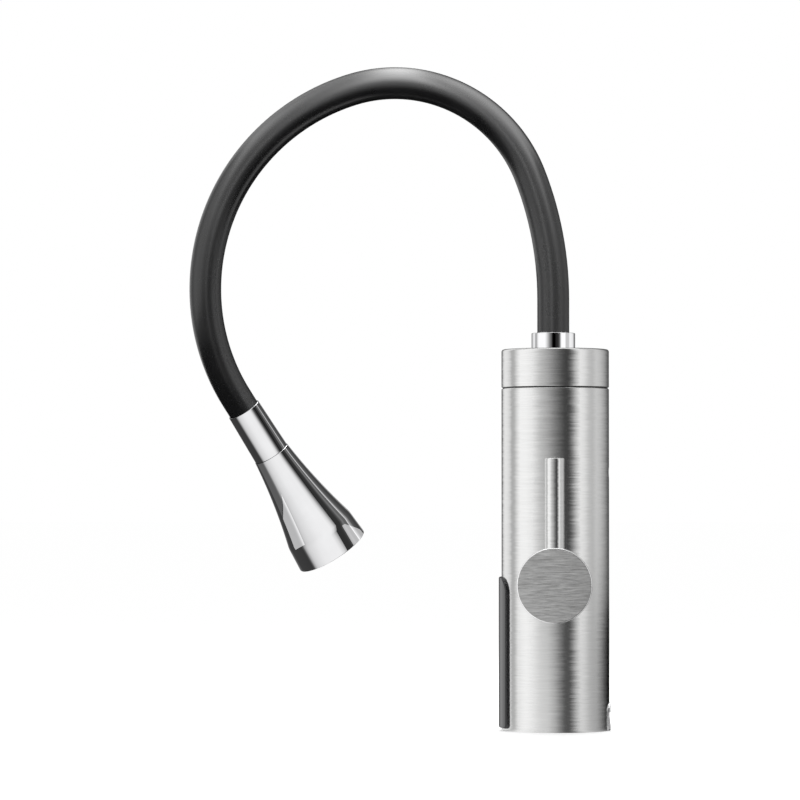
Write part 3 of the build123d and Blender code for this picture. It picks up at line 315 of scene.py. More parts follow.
coveLooks = {
    "columnWall": {
        "centre": (0.0, 0.0), "outline": [(0.75, 0.001), (0.75, 1.7)], "around": 0.029,
        "levels": columnLevels,
    },
    "columnFlag": {
        "centre": (0.0, 0.0), "outline": [(0.062, 0.0), (0.062, 0.25)], "around": 0.029,
        "from": 66, "to": 165, "levels": columnLevels,
    },
    "floorClose": {
        "centre": (0.0, 0.0), "outline": [(0.0, 0.0002), (0.06, 0.0002)], "around": 0.029, "metAt": 0.045,
        "levels": floorLevels,
    },
    "floorNear": {
        "centre": (0.0, 0.0), "outline": [(0.06, 0.0002), (0.16, 0.0004)], "around": 0.029, "metAt": 0.1,
        "levels": floorLevels,
    },
    "columnFloor": {
        "centre": (0.0, 0.0), "outline": [(0.16, 0.0004), (0.74, 0.001), (0.74, 0.052)], "around": 0.029,
        "metAt": 0.4, "levels": floorLevels,
    },
    "headCove": {
        "centre": (-0.145, 0.03), "outline": [(0.0, 0.002), (0.5, 0.002), (0.5, 1.0)], "clear": True,
        "levels": [
            (-180, 0.3), (-168, 0.3), (-156, 0.12), (-142, 0.05), (-78, 0.042), (-70, 0.1), (-62, 0.4),
            (-50, 0.66), (-36, 0.76), (-23, 0.82), (-8, 0.9), (12, 0.94), (35, 0.93), (44, 0.74),
            (50, 0.44), (57, 0.13), (62, 0.04), (99, 0.05), (104, 0.55), (108, 0.5), (112, 0.12),
            (128, 0.09), (146, 0.05), (160, 0.08), (167, 0.6), (172, 0.2), (180, 0.3),
        ],
    },
    "headFlag": {
        "centre": (-0.145, 0.03), "outline": [(0.074, 0.0), (0.074, 0.25)], "clear": True,
        "from": -112, "to": -55,
        "levels": [
            (55, 0.0), (62, 0.03), (74, 0.035), (80, 0.08), (86, 0.2), (91, 0.13), (97, 0.13),
            (103, 0.3), (112, 0.0),
        ],
    },
    "nutCove": {
        "centre": (-0.001, 0.0), "outline": [(0.061, 0.172), (0.061, 0.262)], "around": 0.0118,
        "clear": True,
        "levels": [
            (-180, 0.3), (-151, 0.36), (-138, 0.6), (-124, 0.95), (-114, 0.85), (-106, 0.34),
            (-98, 0.5), (-90, 0.85), (-82, 1.1), (-44, 1.1), (-37, 0.9), (-27, 0.55), (-17, 0.23),
            (-8, 0.1), (-5, 0.02), (0, 0.0), (10, 0.0), (16, 0.02), (26, 0.03), (31, 0.08), (35, 0.14),
            (40, 0.6), (45, 1.1), (66, 1.1), (71, 0.62), (90, 0.62), (98, 1.0), (124, 0.9), (133, 0.7),
            (142, 0.2), (180, 0.2),
        ],
    },
    "hoseArch": {
        "centre": (0.0, 0.0), "outline": [(0.5, -1.0), (0.5, 1.0)], "clear": True, "from": -135, "to": 57,
        "at": (0.0, 0.0, 0.3), "turn": (0, -90, 0),
        "levels": [
            (-55, 0.1), (-40, 0.2), (-30, 0.35), (-18, 0.55), (-5, 0.95), (4, 1.35), (14, 2.5),
            (27, 5.6), (40, 8.4), (55, 9.9), (85, 10.0), (102, 8.2), (120, 4.0), (135, 2.0),
        ],
        "along": [
            (-1.0, 0.0), (-0.45, 0.3), (-0.2, 0.32), (-0.08, 0.34), (-0.02, 0.2), (0.02, 0.3),
            (0.06, 1.0), (0.11, 1.0), (0.15, 0.6), (0.19, 0.22), (0.25, 0.1), (0.4, 0.13), (0.65, 0.22),
            (1.0, 0.0),
        ],
    },
    "outletGlow": {
        "centre": (0.03, 0.0), "outline": [(0.0, 0.0006), (0.05, 0.0006), (0.05, 0.06)], "clear": True,
        "from": -180, "to": -96,
        "levels": [(90, 0.0), (100, 0.9), (170, 0.9), (180, 0.8)],
        "along": [(0.0, 0.4), (0.0035, 0.4), (0.005, 1.0), (0.01, 1.0), (0.014, 0.8), (0.06, 0.7)],
    },
    "rimRing": {
        "centre": (0.0, 0.0), "outline": [(0.09, 0.0), (0.09, 0.04)], "clear": True,
        "at": (0.0, -0.054, 0.0788), "turn": (90, 0, 0),
        "levels": [
            (-180, 1.0), (-150, 0.6), (-135, 0.3), (-90, 0.5), (-45, 0.3), (-12, 0.9), (12, 0.8),
            (45, 0.0), (90, 0.2), (135, 0.05), (160, 0.6), (180, 1.0),
        ],
    },
}


def whereMet(direction, radius, around):
    # the angle on a round card of this radius where a ray off the round piece in its middle meets it
    lean = math.radians(direction / 2)
    run = math.sqrt(radius**2 - (around * math.sin(lean)) ** 2) - around * math.cos(lean)
    across = around * math.sin(lean) + run * math.sin(2 * lean)
    ahead = around * math.cos(lean) + run * math.cos(2 * lean)
    return math.degrees(math.atan2(across, ahead))


def setStops(ramp, stops):
    # stops are given as (place from 0 to 1, level)
    elements = ramp.color_ramp.elements
    for index, (place, level) in enumerate(stops):
        if index == 0:
            stop = elements[0]
        elif index == len(stops) - 1:
            stop = elements[-1]
        else:
            stop = elements.new(place)
        stop.position = place
        stop.color = (level, level, level, 1)


def coveMaterial(name, look):
    material, tree, shader = newMaterial(name)
    tree.nodes.remove(shader)
    centreX, centreY = look["centre"]
    coords = addNode(tree, "ShaderNodeTexCoord")
    turn = addNode(
        tree, "ShaderNodeMapping", Rotation=(0, 0, math.radians(90)), Location=(centreY, -centreX, 0),
    )
    sweep = addNode(tree, "ShaderNodeTexGradient", {"gradient_type": "RADIAL"})
    ramp = addNode(tree, "ShaderNodeValToRGB")
    tree.links.new(coords.outputs["Object"], turn.inputs["Vector"])
    tree.links.new(turn.outputs["Vector"], sweep.inputs["Vector"])
    tree.links.new(sweep.outputs["Fac"], ramp.inputs["Fac"])
    levels, radius = look["levels"], look.get("metAt", look["outline"][-1][0])
    brightest = max(level for degrees, level in levels)
    if "around" in look:
        levels = [(whereMet(degrees, radius, look["around"]), level) for degrees, level in levels]
    setStops(ramp, [((degrees + 180) / 360, level / brightest) for degrees, level in levels])
    glow = addNode(tree, "ShaderNodeEmission", Strength=brightest)
    colour = ramp.outputs["Color"]
    if "along" in look:
        ends = look["along"][0][0], look["along"][-1][0]
        parts = addNode(tree, "ShaderNodeSeparateXYZ")
        place = addNode(tree, "ShaderNodeMapRange", From_Min=ends[0], From_Max=ends[1])
        fade = addNode(tree, "ShaderNodeValToRGB")
        both = addNode(tree, "ShaderNodeMix", {"data_type": "RGBA", "blend_type": "MULTIPLY"}, Factor=1.0)
        setStops(fade, [((z - ends[0]) / (ends[1] - ends[0]), level) for z, level in look["along"]])
        tree.links.new(coords.outputs["Object"], parts.inputs[0])
        tree.links.new(parts.outputs["Z"], place.inputs["Value"])
        tree.links.new(place.outputs["Result"], fade.inputs["Fac"])
        tree.links.new(colour, both.inputs[6])
        tree.links.new(fade.outputs["Color"], both.inputs[7])
        colour = both.outputs[2]
    tree.links.new(colour, glow.inputs["Color"])
    finishCard(material, tree, glow, look.get("clear", False))
    return material


def finishCard(material, tree, glow, clear):
    end = glow
    if clear:
        end = addNode(tree, "ShaderNodeAddShader")
        through = addNode(tree, "ShaderNodeBsdfTransparent")
        tree.links.new(glow.outputs[0], end.inputs[0])
        tree.links.new(through.outputs[0], end.inputs[1])
    tree.links.new(end.outputs[0], tree.nodes["Material Output"].inputs["Surface"])
    material.cycles.emission_sampling = "NONE"


def stageCard(work, name, material):
    card = makeObject(work, name)
    card.data.materials.append(material)
    card.visible_camera = False
    card.visible_diffuse = False
    card.visible_shadow = False
    card.visible_transmission = False
    card.visible_volume_scatter = False
    return card


def gradedCove(name, look):
    # a round wall or floor, turned about the card's own upright line
    centreX, centreY = look["centre"]
    start, end = look.get("from", 0), look.get("to", 360)
    work = bmesh.new()
    corners = [work.verts.new((0, -radius, height)) for radius, height in look["outline"]]
    for first, second in zip(corners, corners[1:]):
        work.edges.new((first, second))
    bmesh.ops.rotate(work, matrix=Matrix.Rotation(math.radians(-start), 3, "Z"), verts=work.verts[:])
    bmesh.ops.spin(
        work, geom=work.verts[:] + work.edges[:], cent=(0, 0, 0), axis=(0, 0, 1), dvec=(0, 0, 0),
        angle=-math.radians(end - start), steps=(end - start) // 3, use_merge=end - start == 360,
        use_duplicate=False,
    )
    bmesh.ops.remove_doubles(work, verts=work.verts[:], dist=1e-6)
    bmesh.ops.translate(work, vec=(centreX, centreY, 0), verts=work.verts[:])
    card = stageCard(work, name, coveMaterial(name, look))
    card.location = look.get("at", (0, 0, 0))
    card.rotation_euler = [math.radians(angle) for angle in look.get("turn", (0, 0, 0))]
    return card


cardLooks = {  # flat upright cards that face along X
    "bellPatch": {"at": (-0.2, 0.0215, 0.0775), "size": (0.067, 0.025), "level": 0.47},
    "bellPatchHigh": {"at": (-0.2, 0.0215, 0.108), "size": (0.067, 0.034), "level": 0.07},
    "mouthPatch": {"at": (-0.078, 0.054, 0.105), "size": (0.072, 0.045), "level": 0.42},
}


def flatCard(name, look):
    work = bmesh.new()
    size = Matrix.Diagonal((*look["size"], 1, 1))
    turn = Euler((math.radians(90), 0, math.radians(90))).to_matrix().to_4x4()
    bmesh.ops.create_grid(work, x_segments=1, y_segments=1, size=0.5, matrix=size)
    bmesh.ops.transform(work, matrix=Matrix.Translation(look["at"]) @ turn, verts=work.verts[:])
    material, tree, shader = newMaterial(name)
    tree.nodes.remove(shader)
    glow = addNode(tree, "ShaderNodeEmission", Color=(1, 1, 1, 1), Strength=look["level"])
    finishCard(material, tree, glow, clear=True)
    return stageCard(work, name, material)


cards = {name: gradedCove(name, look) for name, look in coveLooks.items()}
cards.update({name: flatCard(name, look) for name, look in cardLooks.items()})

lampLooks = {
    "topSoftbox": {
        "at": (-0.04, 0.45, 1.0), "aim": (-0.06, 0.0, 0.3), "size": (0.6, 0.75),
        "power": 5.6, "seenBy": ("diffuse", "glossy"),
    },
    "leftSoftbox": {
        "at": (-1.1, -0.9, 0.8), "aim": (-0.05, 0.0, 0.15), "size": (0.6, 0.9),
        "power": 3.0, "seenBy": ("diffuse",),
    },
    "hubSoftbox": {
        "at": (0.0, -1.1, 0.5), "aim": (0.0, 0.0, 0.08), "size": (0.7, 0.7),
        "power": 1.0, "seenBy": ("diffuse", "glossy"),
    },
}
lamps = {}
for name, look in lampLooks.items():
    lamp = bpy.data.lights.new(name, "AREA")
    lamp.shape = "RECTANGLE"
    lamp.size, lamp.size_y = look["size"]
    lamp.energy = look["power"]
    holder = bpy.data.objects.new(name, lamp)
    scene.collection.objects.link(holder)
    holder.visible_diffuse = "diffuse" in look["seenBy"]
    holder.visible_glossy = "glossy" in look["seenBy"]
    holder.location = look["at"]
    holder.rotation_euler = (Vector(look["aim"]) - Vector(look["at"])).to_track_quat("-Z", "Y").to_euler()
    lamps[name] = holder
print("studio set")


# Finishes
shellSteel = brushedSteel("columnBrushed", {
    "fineScale": (55, 55, 2600), "broadScale": (20, 20, 700), "broadShare": 0.25, "waver": 0.0,
    "dark": (0.79, 0.79, 0.785), "light": (0.87, 0.87, 0.865), "roughness": (0.13, 0.19),
    "bump": 0.14, "bumpDepth": 0.00002, "grooveScale": (90, 90, 1300), "lean": 0.034,
    "axis": "Z", "anisotropy": 0.8, "grainTurn": 0.25,
})
hubFaceSteel = brushedSteel("hubBrushed", {
    "fineScale": (140, 140, 2600), "broadScale": (40, 40, 600), "broadShare": 0.1, "waver": 0.15,
    "dark": (0.38, 0.38, 0.375), "light": (0.88, 0.88, 0.875), "roughness": (0.3, 0.46),
    "bump": 0.6, "bumpDepth": 0.00002, "grooveScale": (150, 150, 2100), "lean": 0.07,
    "axis": "Z", "anisotropy": 0.8, "grainTurn": 0.25,
})
hubSideSteel = brushedSteel("hubTurned", {
    "fineScale": (14, 1500, 14), "broadScale": (6, 260, 6), "broadShare": 0.3, "waver": 0.0,
    "dark": (0.66, 0.66, 0.655), "light": (0.86, 0.86, 0.855), "roughness": (0.18, 0.3),
    "bump": 0.2, "bumpDepth": 0.00002, "grooveScale": (90, 1100, 90), "lean": 0.03,
    "axis": "Y", "anisotropy": 0.8, "grainTurn": 0.25,
})
leverSteel = brushedSteel("leverTurned", {
    "fineScale": (30, 30, 1800), "broadScale": (15, 15, 500), "broadShare": 0.3, "waver": 0.0,
    "dark": (0.76, 0.76, 0.755), "light": (0.88, 0.88, 0.875), "roughness": (0.12, 0.19),
    "bump": 0.12, "bumpDepth": 0.00002, "grooveScale": (160, 160, 1300), "lean": 0.04,
    "axis": "Z", "anisotropy": 0.7, "grainTurn": 0.25,
})
mirrorChrome = polishedMetal("mirrorChrome", {
    "smudgeScale": (60, 60, 60), "rippleScale": (14, 14, 14),
    "dark": (0.88, 0.88, 0.89), "light": (0.93, 0.93, 0.94), "roughness": (0.02, 0.045),
    "bump": 0.02, "bumpDepth": 0.0001,
})
rimChrome = polishedMetal("rimBright", {
    "smudgeScale": (90, 90, 90), "rippleScale": (60, 60, 60),
    "dark": (0.88, 0.88, 0.88), "light": (0.95, 0.95, 0.95), "roughness": (0.12, 0.2),
    "bump": 0.02, "bumpDepth": 0.0001,
})
platedPlastic = polishedMetal("platedPlastic", {
    "smudgeScale": (90, 90, 90), "rippleScale": (60, 60, 60),
    "dark": (0.78, 0.78, 0.79), "light": (0.88, 0.88, 0.89), "roughness": (0.06, 0.12),
    "bump": 0.04, "bumpDepth": 0.0003,
})
machinedBrass = polishedMetal("machinedBrass", {
    "smudgeScale": (120, 120, 900), "rippleScale": (300, 300, 2400),
    "dark": (0.66, 0.5, 0.25), "light": (0.8, 0.64, 0.36), "roughness": (0.18, 0.32),
    "bump": 0.15, "bumpDepth": 0.00005,
})
plainSteel = polishedMetal("plainSteel", {
    "smudgeScale": (150, 150, 150), "rippleScale": (900, 900, 900),
    "dark": (0.46, 0.46, 0.465), "light": (0.62, 0.62, 0.62), "roughness": (0.24, 0.38),
    "bump": 0.1, "bumpDepth": 0.00004,
})
magnetSteel = polishedMetal("magnetSteel", {
    "smudgeScale": (200, 200, 200), "rippleScale": (1200, 1200, 1200),
    "dark": (0.28, 0.28, 0.29), "light": (0.4, 0.4, 0.41), "roughness": (0.34, 0.5),
    "bump": 0.2, "bumpDepth": 0.00005,
})
milledAluminium = polishedMetal("milledAluminium", {
    "smudgeScale": (80, 900, 80), "rippleScale": (120, 1800, 120),
    "dark": (0.68, 0.68, 0.69), "light": (0.8, 0.8, 0.81), "roughness": (0.2, 0.34),
    "bump": 0.15, "bumpDepth": 0.00004,
})
siliconeHose = mouldedPlastic("siliconeHose", {
    "grainScale": (2600, 2600, 2600), "cloudScale": (40, 40, 40),
    "dark": (0.006, 0.006, 0.0065), "light": (0.01, 0.01, 0.0105), "roughness": (0.25, 0.31),
    "bump": 0.1, "bumpDepth": 0.00002, "specular": 0.8,
})
glossPanel = mouldedPlastic("glossPanel", {
    "grainScale": (300, 300, 300), "cloudScale": (30, 30, 30),
    "dark": (0.008, 0.008, 0.009), "light": (0.014, 0.014, 0.015), "roughness": (0.05, 0.09),
    "bump": 0.02, "bumpDepth": 0.00005, "specular": 0.5, "coat": 0.3,
})
mattBlack = mouldedPlastic("mattBlack", {
    "grainScale": (2200, 2200, 2200), "cloudScale": (60, 60, 60),
    "dark": (0.016, 0.016, 0.017), "light": (0.03, 0.03, 0.031), "roughness": (0.42, 0.58),
    "bump": 0.35, "bumpDepth": 0.00005,
})
softRubber = mouldedPlastic("softRubber", {
    "grainScale": (1600, 1600, 1600), "cloudScale": (90, 90, 90),
    "dark": (0.02, 0.02, 0.02), "light": (0.042, 0.042, 0.041), "roughness": (0.6, 0.78),
    "bump": 0.3, "bumpDepth": 0.00005, "specular": 0.35,
})
whitePlastic = mouldedPlastic("whitePlastic", {
    "grainScale": (1800, 1800, 1800), "cloudScale": (50, 50, 50),
    "dark": (0.72, 0.72, 0.7), "light": (0.82, 0.82, 0.8), "roughness": (0.35, 0.48),
    "bump": 0.2, "bumpDepth": 0.00004,
})
redPlastic = mouldedPlastic("redPlastic", {
    "grainScale": (2000, 2000, 2000), "cloudScale": (200, 200, 200),
    "dark": (0.5, 0.035, 0.03), "light": (0.65, 0.06, 0.05), "roughness": (0.32, 0.42),
    "bump": 0.2, "bumpDepth": 0.00004,
})
boardLacquer = mouldedPlastic("boardLacquer", {
    "grainScale": (2600, 2600, 2600), "cloudScale": (250, 250, 250),
    "dark": (0.02, 0.15, 0.06), "light": (0.045, 0.25, 0.1), "roughness": (0.22, 0.34),
    "bump": 0.25, "bumpDepth": 0.00005, "coat": 0.2,
})
greySilicone = mouldedPlastic("greySilicone", {
    "grainScale": (1500, 1500, 1500), "cloudScale": (80, 80, 80),
    "dark": (0.29, 0.3, 0.31), "light": (0.4, 0.41, 0.42), "roughness": (0.5, 0.64),
    "bump": 0.2, "bumpDepth": 0.00005,
})
milkyHose = mouldedPlastic("milkyHose", {
    "grainScale": (1500, 1500, 1500), "cloudScale": (60, 60, 60),
    "dark": (0.68, 0.68, 0.65), "light": (0.8, 0.8, 0.77), "roughness": (0.25, 0.38),
    "bump": 0.1, "bumpDepth": 0.00005,
})
lappedCeramic = mouldedPlastic("lappedCeramic", {
    "grainScale": (2500, 2500, 2500), "cloudScale": (120, 120, 120),
    "dark": (0.84, 0.83, 0.8), "light": (0.91, 0.9, 0.87), "roughness": (0.12, 0.22),
    "bump": 0.05, "bumpDepth": 0.00003,
})
print("finishes made")


# Column: rolled shell with a service hole and the foot's notch, and the turned cap
shellLook = {
    "radius": 29.0, "wall": 1.2, "height": 184.2, "chamfer": 0.3, "steps": 240, "rows": 46,
    "holeHeight": 139.1, "holeRadius": 3.1, "notchWidth": 15.0, "notchHeight": 15.4, "cutDepth": 10.0,
}


def columnShell(look):
    outer, inner = look["radius"], look["radius"] - look["wall"]
    shoulder = look["height"] - look["chamfer"]
    side = [(outer, shoulder * (1 - i / look["rows"])) for i in range(look["rows"] + 1)]
    profile = [(outer - look["chamfer"], look["height"])] + side + [(inner, 0.0), (inner, look["height"])]
    return spinProfile(profile, look["steps"])


def cutWith(piece, cutter):
    # takes the cutter's shape out of the piece and throws the cutter away
    cut = piece.modifiers.new("cut", "BOOLEAN")
    cut.operation = "DIFFERENCE"
    cut.solver = "EXACT"
    cut.object = cutter
    ready = piece.evaluated_get(bpy.context.evaluated_depsgraph_get())
    mesh = bpy.data.meshes.new_from_object(ready)
    piece.modifiers.remove(cut)
    old = piece.data
    mesh.name = piece.name
    piece.data = mesh
    bpy.data.meshes.remove(old)
    bpy.data.objects.remove(cutter)


def cutterFrom(work):
    bmesh.ops.scale(work, vec=(mm, mm, mm), verts=work.verts[:])
    bmesh.ops.recalc_face_normals(work, faces=work.faces[:])
    return makeObject(work, "cutter")


shell = placePiece(
    columnShell(shellLook), "columnShell", "column", shellSteel, ["body_shell"],
)
towardsX = Matrix.Rotation(math.radians(90), 4, "Y")


def crossRod(look, radius, height, segments):
    # a short rod through the shell's right side, to cut with
    work = bmesh.new()
    bmesh.ops.create_cone(
        work, cap_ends=True, segments=segments, radius1=radius, radius2=radius, depth=look["cutDepth"],
        matrix=Matrix.Translation((look["radius"], 0, height)) @ towardsX,
    )
    return work


cutWith(shell, cutterFrom(crossRod(shellLook, shellLook["holeRadius"], shellLook["holeHeight"], 48)))

archRadius = shellLook["notchWidth"] / 2
archHeight = shellLook["notchHeight"] - archRadius
work = crossRod(shellLook, archRadius, archHeight, 64)
for v in work.verts:  # the notch is a round arch on a straight foot
    if v.co.z < archHeight - 0.01:
        v.co.y = math.copysign(archRadius, v.co.y) if abs(v.co.y) > 1e-4 else 0.0
        v.co.z = -1.0
bmesh.ops.dissolve_degenerate(work, edges=work.edges[:], dist=1e-5)
cutWith(shell, cutterFrom(work))
shell.data.set_sharp_from_angle(angle=math.radians(32))

capLook = {
    "radius": 29.0, "bottom": 184.9, "top": 205.4, "rounding": 1.3, "chamfer": 0.3, "bore": 10.3,
    "flatTo": 24.0, "skirt": 27.7, "skirtDrop": 4.0, "inner": 26.2, "roof": 2.5, "steps": 240,
}


def topCap(look):
    top, bottom, radius = look["top"], look["bottom"], look["radius"]
    profile = [
        (look["bore"], top), (look["flatTo"], top), (radius, top), (radius, bottom),
        (look["skirt"], bottom), (look["skirt"], bottom - look["skirtDrop"]),
        (look["inner"], bottom - look["skirtDrop"]), (look["inner"], top - look["roof"]),
        (look["bore"], top - look["roof"]),
    ]
    work = spinProfile(profile, look["steps"])
    roundRing(work, radius, top, look["rounding"], 8)
    roundRing(work, radius, bottom, look["chamfer"], 2)
    return work


placePiece(topCap(capLook), "columnCap", "column", shellSteel, ["top_cap"], angle=30)
print("column made")


# Valve: collar on the shell, round hub and the rod lever
valveHeight = 78.8
valveFrame = Matrix.Translation((0, 0, valveHeight)) @ Matrix.Rotation(math.radians(90), 4, "X")
collarLook = {"radius": 16.0, "back": 24.0, "front": 33.0, "bore": 10.1, "chamfer": 0.45}
profile = [
    (collarLook["bore"], collarLook["back"]), (collarLook["radius"], collarLook["back"]),
    (collarLook["radius"], collarLook["front"]), (collarLook["bore"], collarLook["front"]),
]
work = spinProfile(profile, 128)
roundRing(work, collarLook["radius"], collarLook["front"], collarLook["chamfer"], 4)
placePiece(work, "valveRing", "column", mirrorChrome, ["valve_collar"], valveFrame)

hubLook = {"radius": 20.0, "back": 33.3, "front": 48.0, "edge": 0.75, "midRing": 10.0, "steps": 200}


def roundHub(look):
    profile = [
        (0.0, look["front"]), (look["midRing"], look["front"]), (look["radius"], look["front"]),
        (look["radius"], look["back"]), (0.0, look["back"]),
    ]
    work = spinProfile(profile, look["steps"], closed=False)
    roundRing(work, look["radius"], look["front"], look["edge"], 4)
    roundRing(work, look["radius"], look["back"], look["edge"], 4)
    return work


hub = placePiece(
    roundHub(hubLook), "roundHub", "handle", hubFaceSteel, ["handle_hub"],
    valveFrame, angle=30,
)
hub.data.materials.append(hubSideSteel)
hub.data.materials.append(rimChrome)
for face in hub.data.polygons:
    facing = abs(face.normal.y)  # 1 on the flat face, 0 on the side
    if facing < 0.1:
        face.material_index = 1
    elif facing < 0.98:
        face.material_index = 2

leverLook = {"radius": 5.1, "bottom": 96.8, "top": 146.3, "edge": 0.5, "depth": -40.65}
radius, top, bottom = leverLook["radius"], leverLook["top"], leverLook["bottom"]
work = spinProfile([(0.0, top), (radius, top), (radius, bottom), (0.0, bottom)], 96, closed=False)
roundRing(work, radius, top, leverLook["edge"], 4)
placePiece(
    work, "leverRod", "handle", leverSteel, ["lever_rod"],
    Matrix.Translation((0, leverLook["depth"], 0)), angle=30,
)
print("handle made")


# Union nut on the cap
nutLook = {
    "radius": 11.8, "bottom": 205.4, "top": 214.3, "lip": 211.9, "mouth": 8.95, "neck": 10.05,
    "edge": 0.4, "mouthEdge": 0.15, "across": -1.0,
}
radius, top, lip = nutLook["radius"], nutLook["top"], nutLook["lip"]
profile = [
    (nutLook["neck"], nutLook["bottom"]), (radius, nutLook["bottom"]), (radius, top),
    (nutLook["mouth"], top), (nutLook["mouth"], lip), (nutLook["neck"], lip),
]
work = spinProfile(profile, 160)
roundRing(work, radius, top, nutLook["edge"], 4)
roundRing(work, nutLook["mouth"], top, nutLook["mouthEdge"], 3)
placePiece(
    work, "unionNut", "column", mirrorChrome, ["spout_nut"],
    Matrix.Translation((nutLook["across"], 0, 0)), angle=30,
)


# Hose: one ring of vertices, extruded up and then spun round each bend's centre
hoseLook = {
    "radius": 8.64, "bottom": 211.6, "rise": 21.2, "tail": 8.0, "sides": 72, "stepAngle": 1.5,
    "bends": [(185.5, 21.2, 0.0), (78.9, 85.8, 0.0), (112.4, 52.8, 0.0), (111.2, 53.1, 20.1)],
}


def pushRing(work, ring, way):
    # extrudes a ring of edges and gives the ring at its new end
    held = set(work.verts)
    grown = bmesh.ops.extrude_edge_only(work, edges=ring)["geom"]
    bmesh.ops.translate(work, vec=way, verts=[g for g in grown if isinstance(g, bmesh.types.BMVert)])
    edges = [g for g in grown if isinstance(g, bmesh.types.BMEdge)]
    return [e for e in edges if not any(v in held for v in e.verts)]


def growHose(look):
    work = bmesh.new()
    place = Vector((nutLook["across"], 0, look["bottom"]))
    heading, inward = Vector((0, 0, 1)), Vector((-1, 0, 0))
    bmesh.ops.create_circle(
        work, cap_ends=True, segments=look["sides"], radius=look["radius"], matrix=Matrix.Translation(place)
    )
    lastRing = pushRing(work, work.edges[:], heading * look["rise"])
    place = place + heading * look["rise"]
    for radius, degrees, roll in look["bends"]:
        inward = Matrix.Rotation(math.radians(-roll), 3, heading) @ inward
        axis = heading.cross(inward)
        centre = place + inward * radius
        spun = bmesh.ops.spin(
            work, geom=lastRing + list({v for e in lastRing for v in e.verts}), cent=centre, axis=axis,
            dvec=(0, 0, 0), angle=math.radians(degrees), steps=round(degrees / look["stepAngle"]),
            use_merge=False, use_duplicate=False,
        )
        lastRing = [g for g in spun["geom_last"] if isinstance(g, bmesh.types.BMEdge)]
        turn = Matrix.Rotation(math.radians(degrees), 3, axis)
        place = centre + turn @ (place - centre)
        heading, inward = turn @ heading, turn @ inward
    lastRing = pushRing(work, lastRing, heading * look["tail"])
    place = place + heading * look["tail"]
    bmesh.ops.contextual_create(work, geom=lastRing)
    bmesh.ops.recalc_face_normals(work, faces=work.faces[:])
    return work, place, heading


work, headStart, headHeading = growHose(hoseLook)
print("hose end:", [round(v, 3) for v in headStart], [round(v, 6) for v in headHeading])
placePiece(work, "spoutHose", "spout", siliconeHose, ["hose_sleeve"], angle=50)


# Spray head: slim cone, flared bell and nozzle plate on one axis
headAcross = Vector((0, 1, 0)).cross(headHeading).normalized()
headTurn = Matrix((headAcross, headHeading.cross(headAcross), headHeading)).transposed().to_4x4()
headFrame = Matrix.Translation(headStart) @ headTurn
coneLook = {"length": 29.0, "startRadius": 9.3, "endRadius": 10.0, "bore": 5.0, "edge": 0.25}
profile = [
    (coneLook["bore"], 0.0), (coneLook["startRadius"], 0.0), (coneLook["endRadius"], coneLook["length"]),
    (coneLook["bore"], coneLook["length"]),
]
work = spinProfile(profile, 160)
roundRing(work, coneLook["startRadius"], 0.0, coneLook["edge"], 3)
roundRing(work, coneLook["endRadius"], coneLook["length"], coneLook["edge"], 3)
placePiece(work, "headCone", "spout", mirrorChrome, ["head_collar"], headFrame, angle=30)

bellLook = {
    "start": 29.06, "length": 64.89, "neck": 10.25, "waist": (13.8, 25.0), "crease": (19.6, 51.0),
    "mouth": 20.6, "softening": 1.3, "wall": 1.6, "edge": 0.35, "neckEdge": 0.25, "seat": 1.2,
    "plateRecess": 1.3, "plateThickness": 3.0, "throat": [(8.3, 20.0), (6.55, 11.0), (6.55, 0.0)],
}


def flaredBell(look):
    start, waist, crease = look["start"], look["waist"], look["crease"]
    end = start + look["length"]
    flare = fillArc((look["neck"], start), (waist[0], start + waist[1]), (crease[0], start + crease[1]), 20)
    inner = look["mouth"] - look["wall"]
    plateBack = end - look["plateRecess"] - look["plateThickness"]
    inside = [
        (inner, end), (inner, plateBack), (inner - look["seat"], plateBack),
        (inner - look["seat"], start + crease[1]),
    ]
    inside += [(radius, start + height) for radius, height in look["throat"]]
    work = spinProfile(flare + [(look["mouth"], end)] + inside, 200)
    roundRing(work, crease[0], start + crease[1], look["softening"], 6)
    roundRing(work, look["mouth"], end, look["edge"], 3)
    roundRing(work, look["neck"], start, look["neckEdge"], 3)
    return work


placePiece(
    flaredBell(bellLook), "sprayBell", "spray_head", mirrorChrome, ["spray_bell"], headFrame,
    angle=30,
)
nozzleLook = {
    "radius": 18.9, "hole": 9.05, "edge": 0.3, "rings": [(11.6, 12, 0.0), (15.4, 18, 10.0)],
    "tip": 1.3, "height": 1.0, "bore": 0.55, "dent": 0.15, "lip": 0.15,
    "crown": 0.25, "draft": 0.06, "fall": 0.2, "root": 0.3,
}


def softNozzle(look):
    bore, tip, height, lip = look["bore"], look["tip"], look["height"], look["lip"]
    profile = [
        (0.0, look["dent"]), (bore, look["dent"]), (bore, height - lip), (bore + lip, height),
        (tip - look["crown"], height), (tip - look["draft"], height - look["fall"]),
        (tip, 0.0), (tip, -look["root"]), (0.0, -look["root"]),
    ]
    return spinProfile(profile, 16, closed=False)


